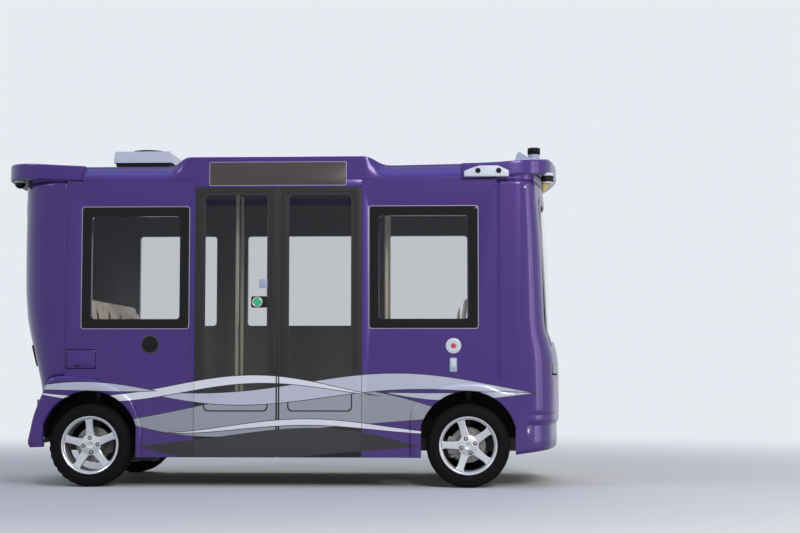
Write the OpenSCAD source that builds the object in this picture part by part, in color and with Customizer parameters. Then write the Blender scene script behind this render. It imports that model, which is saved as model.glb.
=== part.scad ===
/* [Body] */
// Width over the flat side panels
body_w = 1740; // [1680:10:1800]
// Thickness of the side, end and roof walls
wall = 45; // [40:1:50]
// Height of the sills' lower edge above the ground
sill_z = 213; // [200:1:226]
// Height of the walls' upper edge, where the roof sits
wall_top = 2203; // [2180:1:2230]
// Distance of the nose ahead of the middle, at the centreline
nose_x = 2072; // [2052:1:2092]
// Distance of the rear wall behind the middle, at the centreline
tail_x = 1945; // [1925:1:1965]
// Distance of the front shell's seam ahead of the middle
front_seam = 1590; // [1580:1:1596]
// Distance of the rear shell's seam behind the middle
rear_seam = 1520; // [1514:1:1526]
// Radius of the rear vertical corners and the roof's corners in plan
corner_r = 330; // [310:5:335]
// Radius of the front vertical corners in plan
front_corner_r = 290; // [270:5:295]
// Height of the joint between the front shell and the bumper
nose_top = 760; // [755:1:775]
// Radius of the slightly bowed end walls in plan
bow_r = 3000; // [2600:50:3400]
// Gap between neighbouring fixed panels
seam = 0.4; // [0.3:0.1:0.6]

/* [Roof] */
// Distance of the roof's front tip ahead of the middle
roof_front = 2062; // [2050:1:2070]
// Distance of the roof's rear tip behind the middle
roof_rear = 2072; // [2060:1:2080]
// How far the roof's end brims stand out past the side panels
brim_out = 20; // [14:1:26]
// Height of the raised middle part of the roof above the wall tops
hump_h = 170; // [160:1:180]
// Thickness of the roof skin above the cabin
roof_skin = 50; // [40:1:60]

/* [Windows and doors] */
// Middle of the rear side windows, behind the middle
rear_window_x = 1015; // [1005:1:1025]
// Middle of the front side windows, ahead of the middle
front_window_x = 1063; // [1055:1:1071]
// Width of a side window pane
window_w = 777; // [757:1:790]
// Height of a side window pane
window_h = 876; // [850:1:890]
// Height of the side windows' middle
window_z = 1572; // [1560:1:1585]
// Width of the black band round a pane
band_w = 67; // [60:1:75]
// Corner radius of the panes
pane_r = 28; // [20:1:36]
// Thickness of a pane
pane_t = 6; // [5:0.5:8]
// Middle of the door opening, ahead of the middle
door_x = 18; // [10:1:26]
// Width of the door opening
door_w = 1206; // [1180:2:1220]
// Height of the doors' upper edge
door_top = 2151; // [2140:1:2160]
// Width of a door leaf's dark frame
door_frame = 72; // [60:1:80]
// Height of the door glass above the sills
door_glass_h = 330; // [300:5:360]
// Width of the middle window on the left side
middle_window_w = 1040; // [1000:5:1080]
// Width of the windscreen and the rear window
screen_w = 1240; // [1200:10:1280]
// Height of the windscreen's lower edge
screen_z = 1045; // [1030:1:1060]
// Height of the rear window's lower edge
rear_screen_z = 1180; // [1165:1:1195]
// Height of the windscreen's and rear window's upper edge
screen_top = 2080; // [2060:1:2100]

/* [Wheels] */
// Distance of the front axle ahead of the middle
front_axle_x = 1379; // [1374:1:1384]
// Distance between the axles
wheelbase = 2712; // [2706:1:2718]
// Outer radius of the tyres
tyre_r = 298; // [290:1:304]
// Width of the tyres
tyre_w = 195; // [185:1:205]
// Radius of the rim's flange
rim_r = 208; // [204:1:212]
// How far the tyres' outer faces stand in from the side panels
tyre_inset = 0.5; // [0:0.5:5]
// Number of spokes
spoke_n = 5; // [4:1:7]
// Radius of the brake discs
disc_r = 128; // [122:1:132]
// Radius of the wheel spindles
spindle_r = 26; // [24:0.5:28]
// Radial clearance of a shaft in its bore
fit = 0.05; // [0.03:0.01:0.08]
// Distance of the steering pivots in from the wheels' middles
pivot_offset = 107; // [102:1:112]
// Radius of the steering pivot pins
pivot_r = 14; // [12:0.5:16]
// Length of the steering arms
steer_arm = 120; // [116:1:124]
// Radius of the arch edge
arch_r = 350; // [346:1:356]
// Height of the arch edge's centre above the wheel's
arch_rise = 38; // [34:1:42]
// Half the width of the arch below its round part
arch_half = 336; // [333:1:342]
// How far the fenders stand out past the side panels
flare = 20; // [14:1:26]
// Inner radius of the wheel housings
housing_r = 392; // [388:1:396]
// Thickness of the wheel housings
housing_t = 6; // [4:1:8]

/* [Platform] */
// Height of the floor's top above the ground
floor_z = 370; // [362:1:378]
// Thickness of the floor
floor_t = 30; // [24:1:34]
// Height of the chassis rails
rail_h = 100; // [90:1:110]
// Width of the chassis rails
rail_w = 60; // [50:1:70]
// Distance of the rails' middles from the centreline
rail_y = 380; // [370:1:390]
// Length of the battery pack
battery_l = 1400; // [1300:10:1420]

/* [Cabin] */
// Space between the outer seats and the side walls
seat_side = 67; // [62:1:75]
// Height of the seat above the floor
seat_h = 450; // [430:5:470]
// Height of the backrests above the seats
back_h = 520; // [500:5:540]
// Radius of the grab poles
pole_r = 14; // [12:1:18]
// Clearance round the charge flap
flap_gap = 5; // [5:0.5:7]
// Width of the charge flap
flap_w = 205; // [190:5:215]
// Height of the charge flap
flap_h = 132; // [120:2:140]
// Radius of the charge flap's hinge pins
flap_pin_r = 3; // [2.5:0.25:3.5]

/* [Hidden] */
$fn = 72;
half_w = body_w / 2;
inner_w = half_w - wall;
rear_axle_x = front_axle_x - wheelbase;
wheel_z = tyre_r;
wheel_y = half_w - tyre_inset - tyre_w / 2;
floor_low = floor_z - floor_t;
nose_seam = front_axle_x + arch_half + 1;
rail_top = floor_low - seam;
rail_low = rail_top - rail_h;
ceiling_z = wall_top + 100 - roof_skin;
corner_lead = 10;
rear_bumper_top = 620;
tail_in = 700;
tail_corner_r = 200;
bumper_t = 28;
door_left = door_x - door_w / 2;
door_right = door_x + door_w / 2;
flap_z = 980;
flap_x = -(rear_seam - 10 - flap_gap - flap_w / 2);
flap_t = 6;
housing_in = half_w - 365;
pivot_y = wheel_y - pivot_offset;

// Front wall: height and setback behind the nose
front_profile = [[235, 40], [278, 36], [322, 17], [468, 2], [650, 0], [909, 6], [1020, 27], [1131, 56],
  [1352, 69], [1724, 83], [2096, 105], [2240, 118]];
// Rear wall: height and setback ahead of the tail
rear_profile = [[560, 146], [724, 132], [1022, 59], [1172, 26], [1434, 1], [2240, 0]];
// Rear bumper: height and setback ahead of the tail
bumper_profile = [[270, 118], [330, 100], [520, 95], [640, 104], [700, 120]];
// Fender outlines: distance ahead of the axle and height
rear_fender = [[376, 420], [337, 550], [293, 635], [220, 692], [75, 757], [-107, 793], [-187, 796],
  [-288, 778], [-337, 692], [-372, 606], [-407, 513], [-431, 406], [-447, 314], [-432, 282]];
front_fender = [[-418, 340], [-408, 531], [-342, 623], [-235, 694], [-135, 734], [0, 747],
  [135, 736], [262, 684]];
// Roof in side view: distance from the middle and height above the wall tops
roof_side = [[roof_rear - 122, 0], [roof_rear + 2, 32], [roof_rear + 2, 134], [roof_rear - 22, 147],
  [roof_rear - 92, 147], [1420, 102], [790, 102], [735, 112], [660, 158], [610, hump_h - 1]];
roof_side_front = [[620, hump_h + 2], [690, 160], [780, 112], [840, 106], [1326, 115], [1613, 124],
  [roof_front - 162, 152], [roof_front - 72, 170], [roof_front - 27, 160], [roof_front + 2, 120],
  [roof_front + 2, 86], [roof_front - 94, 10], [roof_front - 100, 0]];
// Underside of the roof's brims outside the walls: distance from the middle and height above the wall tops
brim_front = [[1340, 0], [roof_front - 162, 59], [roof_front + 28, 90]];
brim_rear = [[1340, 0], [1625, 9], [roof_rear + 28, 33]];

// Value of a table's second column at a height, smooth between the rows
function row_at(tab, z, i = 0) = i >= len(tab) - 2 || z < tab[i + 1][0] ? i : row_at(tab, z, i + 1);
function slope(tab, i) =
  let (a = max(i - 1, 0), b = min(i + 1, len(tab) - 1))
  (tab[b][1] - tab[a][1]) / (tab[b][0] - tab[a][0]);
function setback(tab, z) =
  let (i = row_at(tab, z), h = tab[i + 1][0] - tab[i][0])
  let (t = min(max((z - tab[i][0]) / h, 0), 1))
  (2 * t * t * t - 3 * t * t + 1) * tab[i][1] + (t * t * t - 2 * t * t + t) * h * slope(tab, i)
  + (3 * t * t - 2 * t * t * t) * tab[i + 1][1] + (t * t * t - t * t) * h * slope(tab, i + 1);

// Value of a table's second column at a place, straight between the rows
function along(tab, x) =
  let (i = row_at(tab, x))
  tab[i][1] + (tab[i + 1][1] - tab[i][1]) * (x - tab[i][0]) / (tab[i + 1][0] - tab[i][0]);

// Lengthwise space that a corner and the bow take up between the side and the nose
function corner_drop(hw, r, bow) = bow - sqrt(pow(bow - r, 2) - pow(hw - r, 2));
// The corner radius that starts at a given place along the side
function corner_for(reach, hw, bow, start) =
  (bow * bow - hw * hw - pow(bow - reach + start, 2)) / (2 * (bow - hw));
// Plan of an end: along the side to the corner, round the bowed end and back
function end_plan(reach, hw, r, bow, seam_x) =
  let (cx = reach - corner_drop(hw, r, bow), a = asin((hw - r) / (bow - r)))
  concat([[seam_x, -hw]],
    [for (i = [0:6]) let (t = -90 + (90 - a) * i / 6) [cx + r * cos(t), -(hw - r) + r * sin(t)]],
    [for (i = [1:7]) let (t = -a + 2 * a * i / 8) [reach - bow + bow * cos(t), bow * sin(t)]],
    [for (i = [0:6]) let (t = a + (90 - a) * i / 6) [cx + r * cos(t), (hw - r) + r * sin(t)]],
    [[seam_x, hw]]);

// Points pushed outwards from a centre by a distance
function grow(points, c, g) = [for (p = points) p + g * (p - c) / norm(p - c)];
function reverse(list) = [for (i = [len(list) - 1:-1:0]) list[i]];
function shift(points, v) = [for (p = points) p + v];

// Plan of an end wall at one height, moved in from its outer face
function wall_plan(profile, reach, seam_x, r, z, t, out) =
  let (x = reach - setback(profile, z) + out, hw = half_w + out)
  let (start = max(x - corner_drop(hw, r, bow_r), seam_x + corner_lead))
  end_plan(x - t, hw - t, corner_for(x, hw, bow_r, start) - t, bow_r - t, seam_x);
// An end wall from a lower edge up to a height, following a profile, of one thickness
module end_wall(profile, reach, seam_x, r, low, z1, t, rows = 12, out = 0) {
  foot = wall_plan(profile, reach, seam_x, r, low(nose_x), 0, out);
  levels = [for (p = foot) low(p[0])];
  plan_n = len(foot);
  rings = [for (i = [0:rows]) concat(
    [for (j = [0:plan_n - 1]) let (z = levels[j] + (z1 - levels[j]) * i / rows)
      let (p = wall_plan(profile, reach, seam_x, r, z, 0, out)[j]) [p[0], p[1], z]],
    [for (j = [plan_n - 1:-1:0]) let (z = levels[j] + (z1 - levels[j]) * i / rows)
      let (p = wall_plan(profile, reach, seam_x, r, z, t, out)[j]) [p[0], p[1], z]])];
  n = 2 * plan_n;
  sides = [for (i = [0:rows - 1]) for (j = [0:n - 1])
    let (a = i * n + j, b = i * n + (j + 1) % n) each [[a, a + n, b + n], [a, b + n, b]]];
  caps = [for (j = [0:plan_n - 2]) each [[j, j + 1, n - 2 - j], [j, n - 2 - j, n - 1 - j]]];
  top = [for (f = caps) [for (k = reverse(f)) k + rows * n]];
  polyhedron(points = [for (ring = rings) each ring], faces = concat(sides, caps, top));
}
// A straight lower edge for an end wall
function level(z) = function(x) z;
// A closed plan from the plan of a front and a rear wall
function plan_between(front, rear) = concat(front, [for (p = reverse(rear)) [-p[0], p[1]]]);
// Plan of the walls at their upper edge, moved in by a distance
function walls_plan(t) = plan_between(
  wall_plan(front_profile, nose_x, front_seam, front_corner_r, wall_top, t, 0),
  wall_plan(rear_profile, tail_x, rear_seam, corner_r, wall_top, t, 0));
// Inner plan of the front bumper at the floor's height
function nose_plan() =
  wall_plan(front_profile, nose_x, nose_seam, front_corner_r, floor_low, wall + 2 * seam, 0);

// A flat shape in side view, stretched between two distances from the centreline
module y_slab(y0, y1) {
  translate([0, y1, 0]) rotate([90, 0, 0]) linear_extrude(y1 - y0) children();
}
// The same on one side of the body, from an inner to an outer distance
module side_slab(side, y_in, y_out) {
  if (side > 0) y_slab(y_in, y_out) children();
  else y_slab(-y_out, -y_in) children();
}
// A flat shape in front view, stretched between two lengthwise places
module x_slab(x0, x1) {
  translate([x0, 0, 0]) rotate([90, 0, 90]) linear_extrude(x1 - x0) children();
}
// A rectangle with round corners, about its middle
module round_rect(w, h, r) {
  square([w - 2 * r, h], center = true);
  square([w, h - 2 * r], center = true);
  for (x = [-1, 1], y = [-1, 1]) translate([x * (w / 2 - r), y * (h / 2 - r)]) circle(r);
}
// Turns a shape that is built along +Z to point outwards along an axle, at a wheel
module at_wheel(x, side) {
  translate([x, side * wheel_y, wheel_z]) rotate([0, 0, side > 0 ? 0 : 180]) rotate([-90, 0, 0]) children();
}
// A tube or bar along the body's width
module y_bar(r, y0, y1) {
  translate([0, y0, 0]) rotate([-90, 0, 0]) cylinder(r = r, h = y1 - y0);
}

// The opening of a wheel arch in side view
module arch_shape(x) {
  translate([x, wheel_z]) intersection() {
    union() {
      translate([0, arch_rise]) circle(arch_r);
      translate([-arch_half, -wheel_z]) square([2 * arch_half, wheel_z + arch_rise]);
    }
    translate([-arch_half, -wheel_z]) square([2 * arch_half, 2 * wheel_z + arch_r + arch_rise]);
  }
}
// The outlines of the fenders in side view, closed along the bottom
fender_centre = [-30, 420];
function rear_fender_line(g) = concat(
  [[rear_axle_x + 378 + g, sill_z - g]],
  shift(grow(rear_fender, fender_centre, g), [rear_axle_x, 0]),
  [[rear_axle_x - arch_half, 285 - g], [rear_axle_x - arch_half, sill_z - g]]);
function front_fender_line(g) = concat(
  [[front_axle_x - 415 - g, sill_z - g]],
  shift(grow(front_fender, fender_centre, g), [front_axle_x, 0]),
  [[nose_seam - seam + g, 655 + g], [nose_seam - seam + g, 445 - g], [front_axle_x + 250, 445 - g],
    [front_axle_x, sill_z - g]]);
module fender_shape(g) {
  polygon(rear_fender_line(g));
  polygon(front_fender_line(g));
}
// What the side panels leave free for the fenders and wheels
module fender_zone() {
  fender_shape(seam);
  for (x = [front_axle_x, rear_axle_x]) arch_shape(x);
  translate([front_axle_x, 0]) square([nose_seam + 1 - front_axle_x, 446]);
}

// A side panel between two lengthwise places, with its windows, arches and rebates
module side_panel(side, x0, x1, windows, flap) {
  difference() {
    side_slab(side, inner_w, half_w) difference() {
      union() {
        translate([x0, sill_z]) square([x1 - x0, wall_top - seam - sill_z]);
        if (x1 > front_axle_x) translate([x1 - 1, sill_z])
          square([nose_seam - seam - x1 + 1, nose_top - seam - sill_z]);
      }
      fender_zone();
      for (w = windows) translate([w[0], window_z])
        round_rect(w[1] - 2 * band_w, window_h - 2 * band_w, pane_r);
      if (flap) flap_opening();
    }
    for (w = windows) side_slab(side, half_w - pane_t - seam, half_w + 1) translate([w[0], window_z])
      round_rect(w[1] + 2 * seam, window_h + 2 * seam, pane_r);
    if (flap) flap_axis() translate([-flap_w / 2 - 20, 0, 0]) rotate([0, 90, 0])
      cylinder(r = flap_pin_r + fit, h = flap_w + 40);
  }
}
right_windows = [[-rear_window_x, window_w], [front_window_x, window_w]];
left_windows = [[-rear_window_x, window_w], [front_window_x, window_w], [door_x, middle_window_w]];
module panel_rear_right() {
  color("indigo") side_panel(-1, -rear_seam + seam, door_left - seam, [right_windows[0]], true);
}
module panel_front_right() {
  color("indigo") side_panel(-1, door_right + seam, front_seam - seam, [right_windows[1]], false);
}
module panel_left() {
  color("indigo") side_panel(1, -rear_seam + seam, front_seam - seam, left_windows, false);
}

// The charge flap hinges along its upper edge
module flap_axis() {
  translate([flap_x, -half_w + flap_t, flap_z - flap_t]) children();
}
module flap_opening() {
  translate([flap_x, flap_z - flap_h / 2]) square([flap_w + 2 * flap_gap, flap_h + 2 * flap_gap], center = true);
}
module charge_flap() {
  color("indigo") flap_axis() {
    translate([-flap_w / 2, -flap_t, -flap_h + flap_t]) cube([flap_w, flap_t, flap_h - flap_t]);
    translate([-flap_w / 2, 0, 0]) rotate([0, 90, 0]) cylinder(r = flap_t, h = flap_w);
    translate([-flap_w / 2 - 15, 0, 0]) rotate([0, 90, 0]) cylinder(r = flap_pin_r, h = flap_w + 30);
  }
}
// Socket plate behind the flap, filling the panel's opening
module charge_inlet() {
  color("dimgray") difference() {
    union() {
      translate([flap_x - flap_w / 2 - flap_gap + seam, -half_w + 26, flap_z - flap_h - flap_gap + seam])
        cube([flap_w + 2 * flap_gap - 2 * seam, 14, flap_h + 2 * flap_gap - 2 * seam]);
      translate([flap_x, -half_w + 14, flap_z - flap_h / 2]) rotate([-90, 0, 0]) cylinder(r = 38, h = 20);
    }
    translate([flap_x, -half_w + 10, flap_z - flap_h / 2]) rotate([-90, 0, 0]) cylinder(r = 30, h = 24);
  }
}

// Fenders over the four wheels, standing proud of the sides
module fenders() {
  color("indigo") for (side = [-1, 1]) {
    side_slab(side, inner_w, half_w + flare) difference() {
      fender_shape(0);
      for (x = [front_axle_x, rear_axle_x]) arch_shape(x);
    }
    side_slab(side, tail_in, inner_w + 1) intersection() {
      polygon(rear_fender_line(0));
      translate([rear_axle_x - 500, 0]) square([500 - housing_r - housing_t, rear_bumper_top - seam]);
    }
  }
}

// Openings of the windscreen and rear window in front view
module screen_shape(low, g) {
  translate([0, (screen_top + low) / 2]) round_rect(screen_w - 2 * g, screen_top - low - 2 * g, 90);
}
// Lamp openings in front view, on both sides
lamp_z = 850;
lamp_w = 250;
lamp_h = 74;
rear_lamp_z = 940;
rear_lamp_h = 150;
rear_lamp_w = 120;
lamp_y = 560;
module front_lamp_shape(g) {
  for (s = [-1, 1]) translate([s * lamp_y, lamp_z]) round_rect(lamp_w - 2 * g, lamp_h - 2 * g, 30);
}
module rear_lamp_shape(g) {
  for (s = [-1, 1]) translate([s * (lamp_y + 60), rear_lamp_z]) round_rect(rear_lamp_w - 2 * g, rear_lamp_h - 2 * g, 30);
}
module front_wall(low, z1, t, rows) {
  seam_x = low(nose_x) < nose_top - 1 ? nose_seam : front_seam;
  end_wall(front_profile, nose_x, seam_x, front_corner_r, low, z1, t, rows);
}
module rear_wall(low, z1, t, rows, out = 0) {
  mirror([1, 0, 0]) end_wall(rear_profile, tail_x, rear_seam, corner_r, low, z1, t, rows, out);
}
module front_shell() {
  color("indigo") difference() {
    front_wall(level(nose_top), wall_top - seam, wall, 16);
    x_slab(nose_x - 500, nose_x + 50) {
      screen_shape(screen_z, 0);
      front_lamp_shape(0);
    }
  }
}
// The bumper's lower edge rises towards the nose
function bumper_low(x) = 236 + 48 * (x - nose_seam) / (nose_x - nose_seam);
module front_bumper() {
  color("indigo") front_wall(function(x) bumper_low(x), nose_top - seam, wall, 10);
}
// The rear shell's lower edge follows the fender's upper line
shell_low = [[rear_seam, 793], [1571, 783], [1611, 771], [1646, 712], [1676, 664], [1699, rear_bumper_top],
  [2100, rear_bumper_top]];
module rear_shell() {
  color("indigo") difference() {
    rear_wall(function(x) along(shell_low, x), wall_top - seam, wall, 16);
    for (side = [-1, 1]) side_slab(side, inner_w - seam, half_w + 1) polygon(rear_fender_line(seam));
    x_slab(-tail_x - 50, -tail_x + 400) {
      screen_shape(rear_screen_z, 0);
      rear_lamp_shape(0);
    }
  }
}
// Middle of the rear bumper, between the fenders' tails
module rear_bumper() {
  color("indigo") intersection() {
    mirror([1, 0, 0]) end_wall(bumper_profile, tail_x, rear_seam, tail_corner_r, level(285), rear_bumper_top - seam, bumper_t, 6);
    translate([-tail_x - 50, -tail_in + seam, 200]) cube([500, 2 * tail_in - 2 * seam, 500]);
  }
}
module windscreen() {
  color("darkslategray", 0.5) intersection() {
    front_wall(level(screen_z - 20), screen_top + 20, pane_t, 12);
    x_slab(nose_x - 500, nose_x + 50) screen_shape(screen_z, seam);
  }
}
module rear_window() {
  color("darkslategray", 0.5) intersection() {
    rear_wall(level(rear_screen_z - 20), screen_top + 20, pane_t, 12);
    x_slab(-tail_x - 50, -tail_x + 400) screen_shape(rear_screen_z, seam);
  }
}
module lamps() {
  color("whitesmoke") {
    intersection() {
      front_wall(level(lamp_z - 60), lamp_z + 60, 30, 4);
      x_slab(nose_x - 500, nose_x + 50) front_lamp_shape(seam);
    }
    intersection() {
      rear_wall(level(rear_lamp_z - 100), rear_lamp_z + 100, 42, 4, 12);
      x_slab(-tail_x - 50, -tail_x + 400) rear_lamp_shape(seam);
    }
  }
}
module side_windows() {
  color("darkslategray", 0.5) for (side = [-1, 1])
    for (w = side < 0 ? right_windows : left_windows)
      side_slab(side, half_w - pane_t, half_w) translate([w[0], window_z]) round_rect(w[1], window_h, pane_r);
}

// One leaf of the door, with its glass opening
door_t = 40;
leaf_gap = 4;
leaf_w = (door_w - leaf_gap) / 2;
module door_glass_shape(dir, g) {
  low = sill_z + door_glass_h;
  top = door_top - 50;
  translate([door_x + dir * (leaf_w + leaf_gap) / 2, (low + top) / 2])
    round_rect(leaf_w - 2 * door_frame - 2 * g, top - low - 2 * g, pane_r);
}
module door_leaf(dir) {
  x = door_x + dir * (leaf_w + leaf_gap) / 2;
  y_slab(-half_w, -half_w + door_t) difference() {
    translate([x - leaf_w / 2, sill_z]) square([leaf_w, door_top - sill_z]);
    door_glass_shape(dir, 0);
  }
}
module door_leaf_rear() {
  color("dimgray") door_leaf(-1);
}
module door_leaf_front() {
  color("dimgray") door_leaf(1);
}
module door_glass() {
  color("darkslategray", 0.5) for (dir = [-1, 1])
    y_slab(-half_w + 3, -half_w + 3 + pane_t) door_glass_shape(dir, seam);
}

// The roof in plan, wider at its two brims
brim_start = 1340;
brim_full = 1500;
function brim_plan(reach) = concat([[brim_start, -half_w]],
  end_plan(reach, half_w + brim_out, corner_r, bow_r, brim_full), [[brim_start, half_w]]);
display_w = 994;
display_h = 175;
display_x = 13;
display_z = wall_top + 46;
display_t = 30;
module roof() {
  color("indigo") difference() {
    union() {
      intersection() {
        translate([0, 0, wall_top]) y_slab(-1200, 1200)
          polygon(concat([for (p = roof_side) [-p[0], p[1]]], roof_side_front));
        translate([0, 0, wall_top - 100]) linear_extrude(500)
          polygon(plan_between(brim_plan(roof_front), brim_plan(roof_rear)));
      }
      y_slab(-half_w, -inner_w) translate([door_left + seam, door_top + seam])
        square([door_w - 2 * seam, wall_top - door_top + 10]);
    }
    // The brims' undersides rise towards both ends
    difference() {
      translate([0, 0, wall_top]) y_slab(-1200, 1200) {
        polygon(concat([[brim_start, -50]], brim_front, [[roof_front + 28, -50]]));
        mirror([1, 0]) polygon(concat([[brim_start, -50]], brim_rear, [[roof_rear + 28, -50]]));
      }
      translate([0, 0, wall_top - 60]) linear_extrude(200) polygon(walls_plan(0));
    }
    // Cabin side of the roof
    translate([0, 0, wall_top - 1]) linear_extrude(1 + ceiling_z - wall_top) polygon(walls_plan(wall));
    y_slab(-half_w - 1, -half_w + display_t + seam)
      translate([display_x - display_w / 2 - seam, display_z - display_h / 2 - seam])
      square([display_w + 2 * seam, display_h + 2 * seam]);
  }
}
module display_panel() {
  color("black") y_slab(-half_w - 2, -half_w + display_t) translate([display_x, display_z])
    square([display_w, display_h], center = true);
}

// Cooling unit: a cover with a fan's round shroud, on a narrower base with four feet
cooling_x = [-1312, -866];
cooling_half = 300;
cooling_top = wall_top + 295;
cooling_low = wall_top + 208;
cooling_base = wall_top + 182;
cooling_inset = 15;
fan_x = -1098;
fan_r = 130;
fan_h = 37;
foot_x = [-1240, -940];
foot_y = 230;
foot_w = 80;
module cooling_unit() {
  color("whitesmoke") {
    y_slab(-cooling_half, cooling_half) polygon([[cooling_x[0], cooling_low], [cooling_x[0] + 5, cooling_top - 12],
      [cooling_x[0] + 17, cooling_top], [cooling_x[1] - 17, cooling_top], [cooling_x[1] - 5, cooling_top - 12],
      [cooling_x[1], cooling_low]]);
    y_slab(cooling_inset - cooling_half, cooling_half - cooling_inset)
      translate([cooling_x[0] + cooling_inset, cooling_base])
      square([cooling_x[1] - cooling_x[0] - 2 * cooling_inset, cooling_low - cooling_base + 1]);
    translate([fan_x, 0, cooling_top - 1]) cylinder(r = fan_r, h = fan_h + 1);
    for (x = foot_x, y = [-foot_y, foot_y]) translate([x - foot_w / 2, y - foot_w / 2, wall_top + 102 + seam])
      cube([foot_w, foot_w, cooling_base - wall_top - 101]);
  }
}
// Front roof sensor: a fin-shaped housing with a drum on its base
fin_x = roof_front - 164;
fin_half = 60;
neck_r = 44;
cap_r = 49;
function roof_top(x) = wall_top + along(roof_side_front, x);
module roof_sensor() {
  fin = concat([for (x = [fin_x - 148, fin_x - 111, fin_x + 2, fin_x + 53]) [x, roof_top(x) + seam]],
    [for (p = [[53, 259], [-34, 264], [-62, 281], [-114, 311], [-148, 241]]) [fin_x + p[0], wall_top + p[1]]]);
  color("silver") {
    y_slab(-fin_half, fin_half) polygon(fin);
    translate([fin_x, 0, wall_top + 250]) cylinder(r = neck_r, h = 46);
    translate([fin_x, 0, wall_top + 295]) cylinder(r = cap_r, h = 53);
  }
}
// Side camera pods on the roof's front brim, on both sides
pod_x = [1354, 1675];
pod_t = 30;
lens_x = [1454, 1602];
lens_r = 19;
module side_cameras() {
  color("whitesmoke") for (side = [-1, 1]) difference() {
    side_slab(side, half_w + brim_out, half_w + brim_out + pod_t)
      translate([0, wall_top]) polygon([[pod_x[0], 12], [pod_x[0], 52], [pod_x[0] + 66, 79], [pod_x[0] + 111, 93],
        [pod_x[1] - 78, 93], [pod_x[1], 55], [pod_x[1], 12]]);
    for (x = lens_x) translate([x, side * (half_w + brim_out + pod_t + 1), wall_top + 55]) rotate([90, 0, 0])
      cylinder(r = lens_r, h = pod_t, center = true);
  }
}
// Drum sensors under the front corners and camera domes under the rear corners
drum_r = 45;
drum_x = roof_front - 102;
drum_y = 700;
dome_r = 41;
dome_x = roof_rear - 157;
dome_y = 690;
module corner_sensors() {
  color("dimgray") for (side = [-1, 1]) {
    translate([drum_x, side * drum_y, 0]) {
      translate([0, 0, wall_top - 14]) cylinder(r = drum_r, h = along(brim_front, drum_x - drum_r) + 14 - seam);
      translate([0, 0, wall_top - 83]) cylinder(r1 = 10, r2 = 42, h = 69);
    }
    translate([-dome_x, side * dome_y, wall_top - 3]) {
      intersection() {
        sphere(r = dome_r);
        translate([-60, -60, -60]) cube([120, 120, 65]);
      }
      cylinder(r = 30, h = along(brim_rear, dome_x - 30) + 3 - seam);
    }
  }
}

// Ladder frame below the floor
rear_rail_x = tail_x - 305;
front_rail_x = nose_x - 172;
member_w = 60;
rail_in = rail_y - rail_w / 2 - seam;
rail_out = rail_y + rail_w / 2 + seam;
lug_r = 30;
lug_t = 16;
lug_reach = 45;
lug_hole_r = 12.5;
lug_z = rail_low + rail_h / 2;
module chassis_frame() {
  color("darkslategray") {
    for (s = [-1, 1]) translate([-rear_rail_x, s * rail_y - rail_w / 2, rail_low])
      cube([rear_rail_x + front_rail_x, rail_w, rail_h]);
    for (x = [-rear_rail_x, -960, 760, front_rail_x - member_w])
      translate([x, -rail_in, rail_low + 10]) cube([member_w, 2 * rail_in, rail_h - 20]);
    for (s = [-1, 1], x = [-800, 700]) translate([x, s > 0 ? rail_out : -inner_w + seam, rail_low + 30])
      cube([member_w, inner_w - seam - rail_out, 50]);
    for (x = [-rear_rail_x, front_rail_x]) tow_lug(x);
  }
}
// Flat tow eye on an end cross-member, with an upright hole
module tow_lug(x) {
  dir = x > 0 ? 1 : -1;
  translate([x, 0, lug_z - lug_t / 2]) linear_extrude(lug_t) difference() {
    union() {
      translate([dir * lug_reach, 0]) circle(lug_r);
      translate([dir > 0 ? -1 : -lug_reach, -lug_r]) square([lug_reach + 1, 2 * lug_r]);
    }
    translate([dir * lug_reach, 0]) circle(lug_hole_r);
  }
}
module battery_pack() {
  color("gray") translate([-battery_l / 2, -rail_y + rail_w / 2 + 10, rail_low + 2])
    cube([battery_l, 2 * rail_y - rail_w - 20, rail_h - 2 - seam]);
}
function floor_plan() = plan_between(nose_plan(),
  wall_plan(bumper_profile, tail_x, rear_seam, tail_corner_r, floor_low, wall + 2 * seam, 0));
module floor_deck() {
  color("gray") difference() {
    translate([0, 0, floor_low]) linear_extrude(floor_t) polygon(floor_plan());
    for (x = [front_axle_x, rear_axle_x], s = [-1, 1])
      translate([x - housing_r - housing_t - seam, s > 0 ? housing_in - seam : -half_w, floor_low - 1])
        cube([2 * (housing_r + housing_t + seam), half_w - housing_in + seam, floor_t + 2]);
  }
}
// Arched housings over the wheels, open below
module wheel_housings(x) {
  color("dimgray") intersection() {
    for (side = [-1, 1]) {
      side_slab(side, housing_in, inner_w - seam) translate([x, wheel_z]) intersection() {
        difference() {
          circle(housing_r + housing_t);
          circle(housing_r);
        }
        translate([-500, floor_low - wheel_z]) square([1000, 600]);
      }
      side_slab(side, housing_in, housing_in + housing_t) translate([x, wheel_z]) intersection() {
        circle(housing_r + 1);
        translate([-500, floor_low - wheel_z]) square([1000, 600]);
      }
    }
    translate([0, 0, floor_low]) linear_extrude(500)
      polygon(concat([[-tail_x, seam - inner_w]], nose_plan(), [[-tail_x, inner_w - seam]]));
  }
}
module wheel_housings_front() {
  wheel_housings(front_axle_x);
}
module wheel_housings_rear() {
  wheel_housings(rear_axle_x);
}

// Damper and bellows that stand under a housing's crown
strut_y = pivot_y - 65;
strut_cap_r = 30;
module strut(x, side, low) {
  top = wheel_z + sqrt(pow(housing_r, 2) - pow(strut_cap_r, 2)) - seam;
  translate([x, side * strut_y, low]) {
    cylinder(r = 24, h = top - low - 10);
    translate([0, 0, top - low - 12]) cylinder(r = strut_cap_r, h = 12);
    translate([0, 0, 90]) rotate_extrude() polygon(concat([[10, 0]],
      [for (i = [0:10]) [i % 2 == 0 ? 34 : 48, i * 14]], [[10, 140]]));
  }
}
arm_z = wheel_z - 105;
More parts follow.
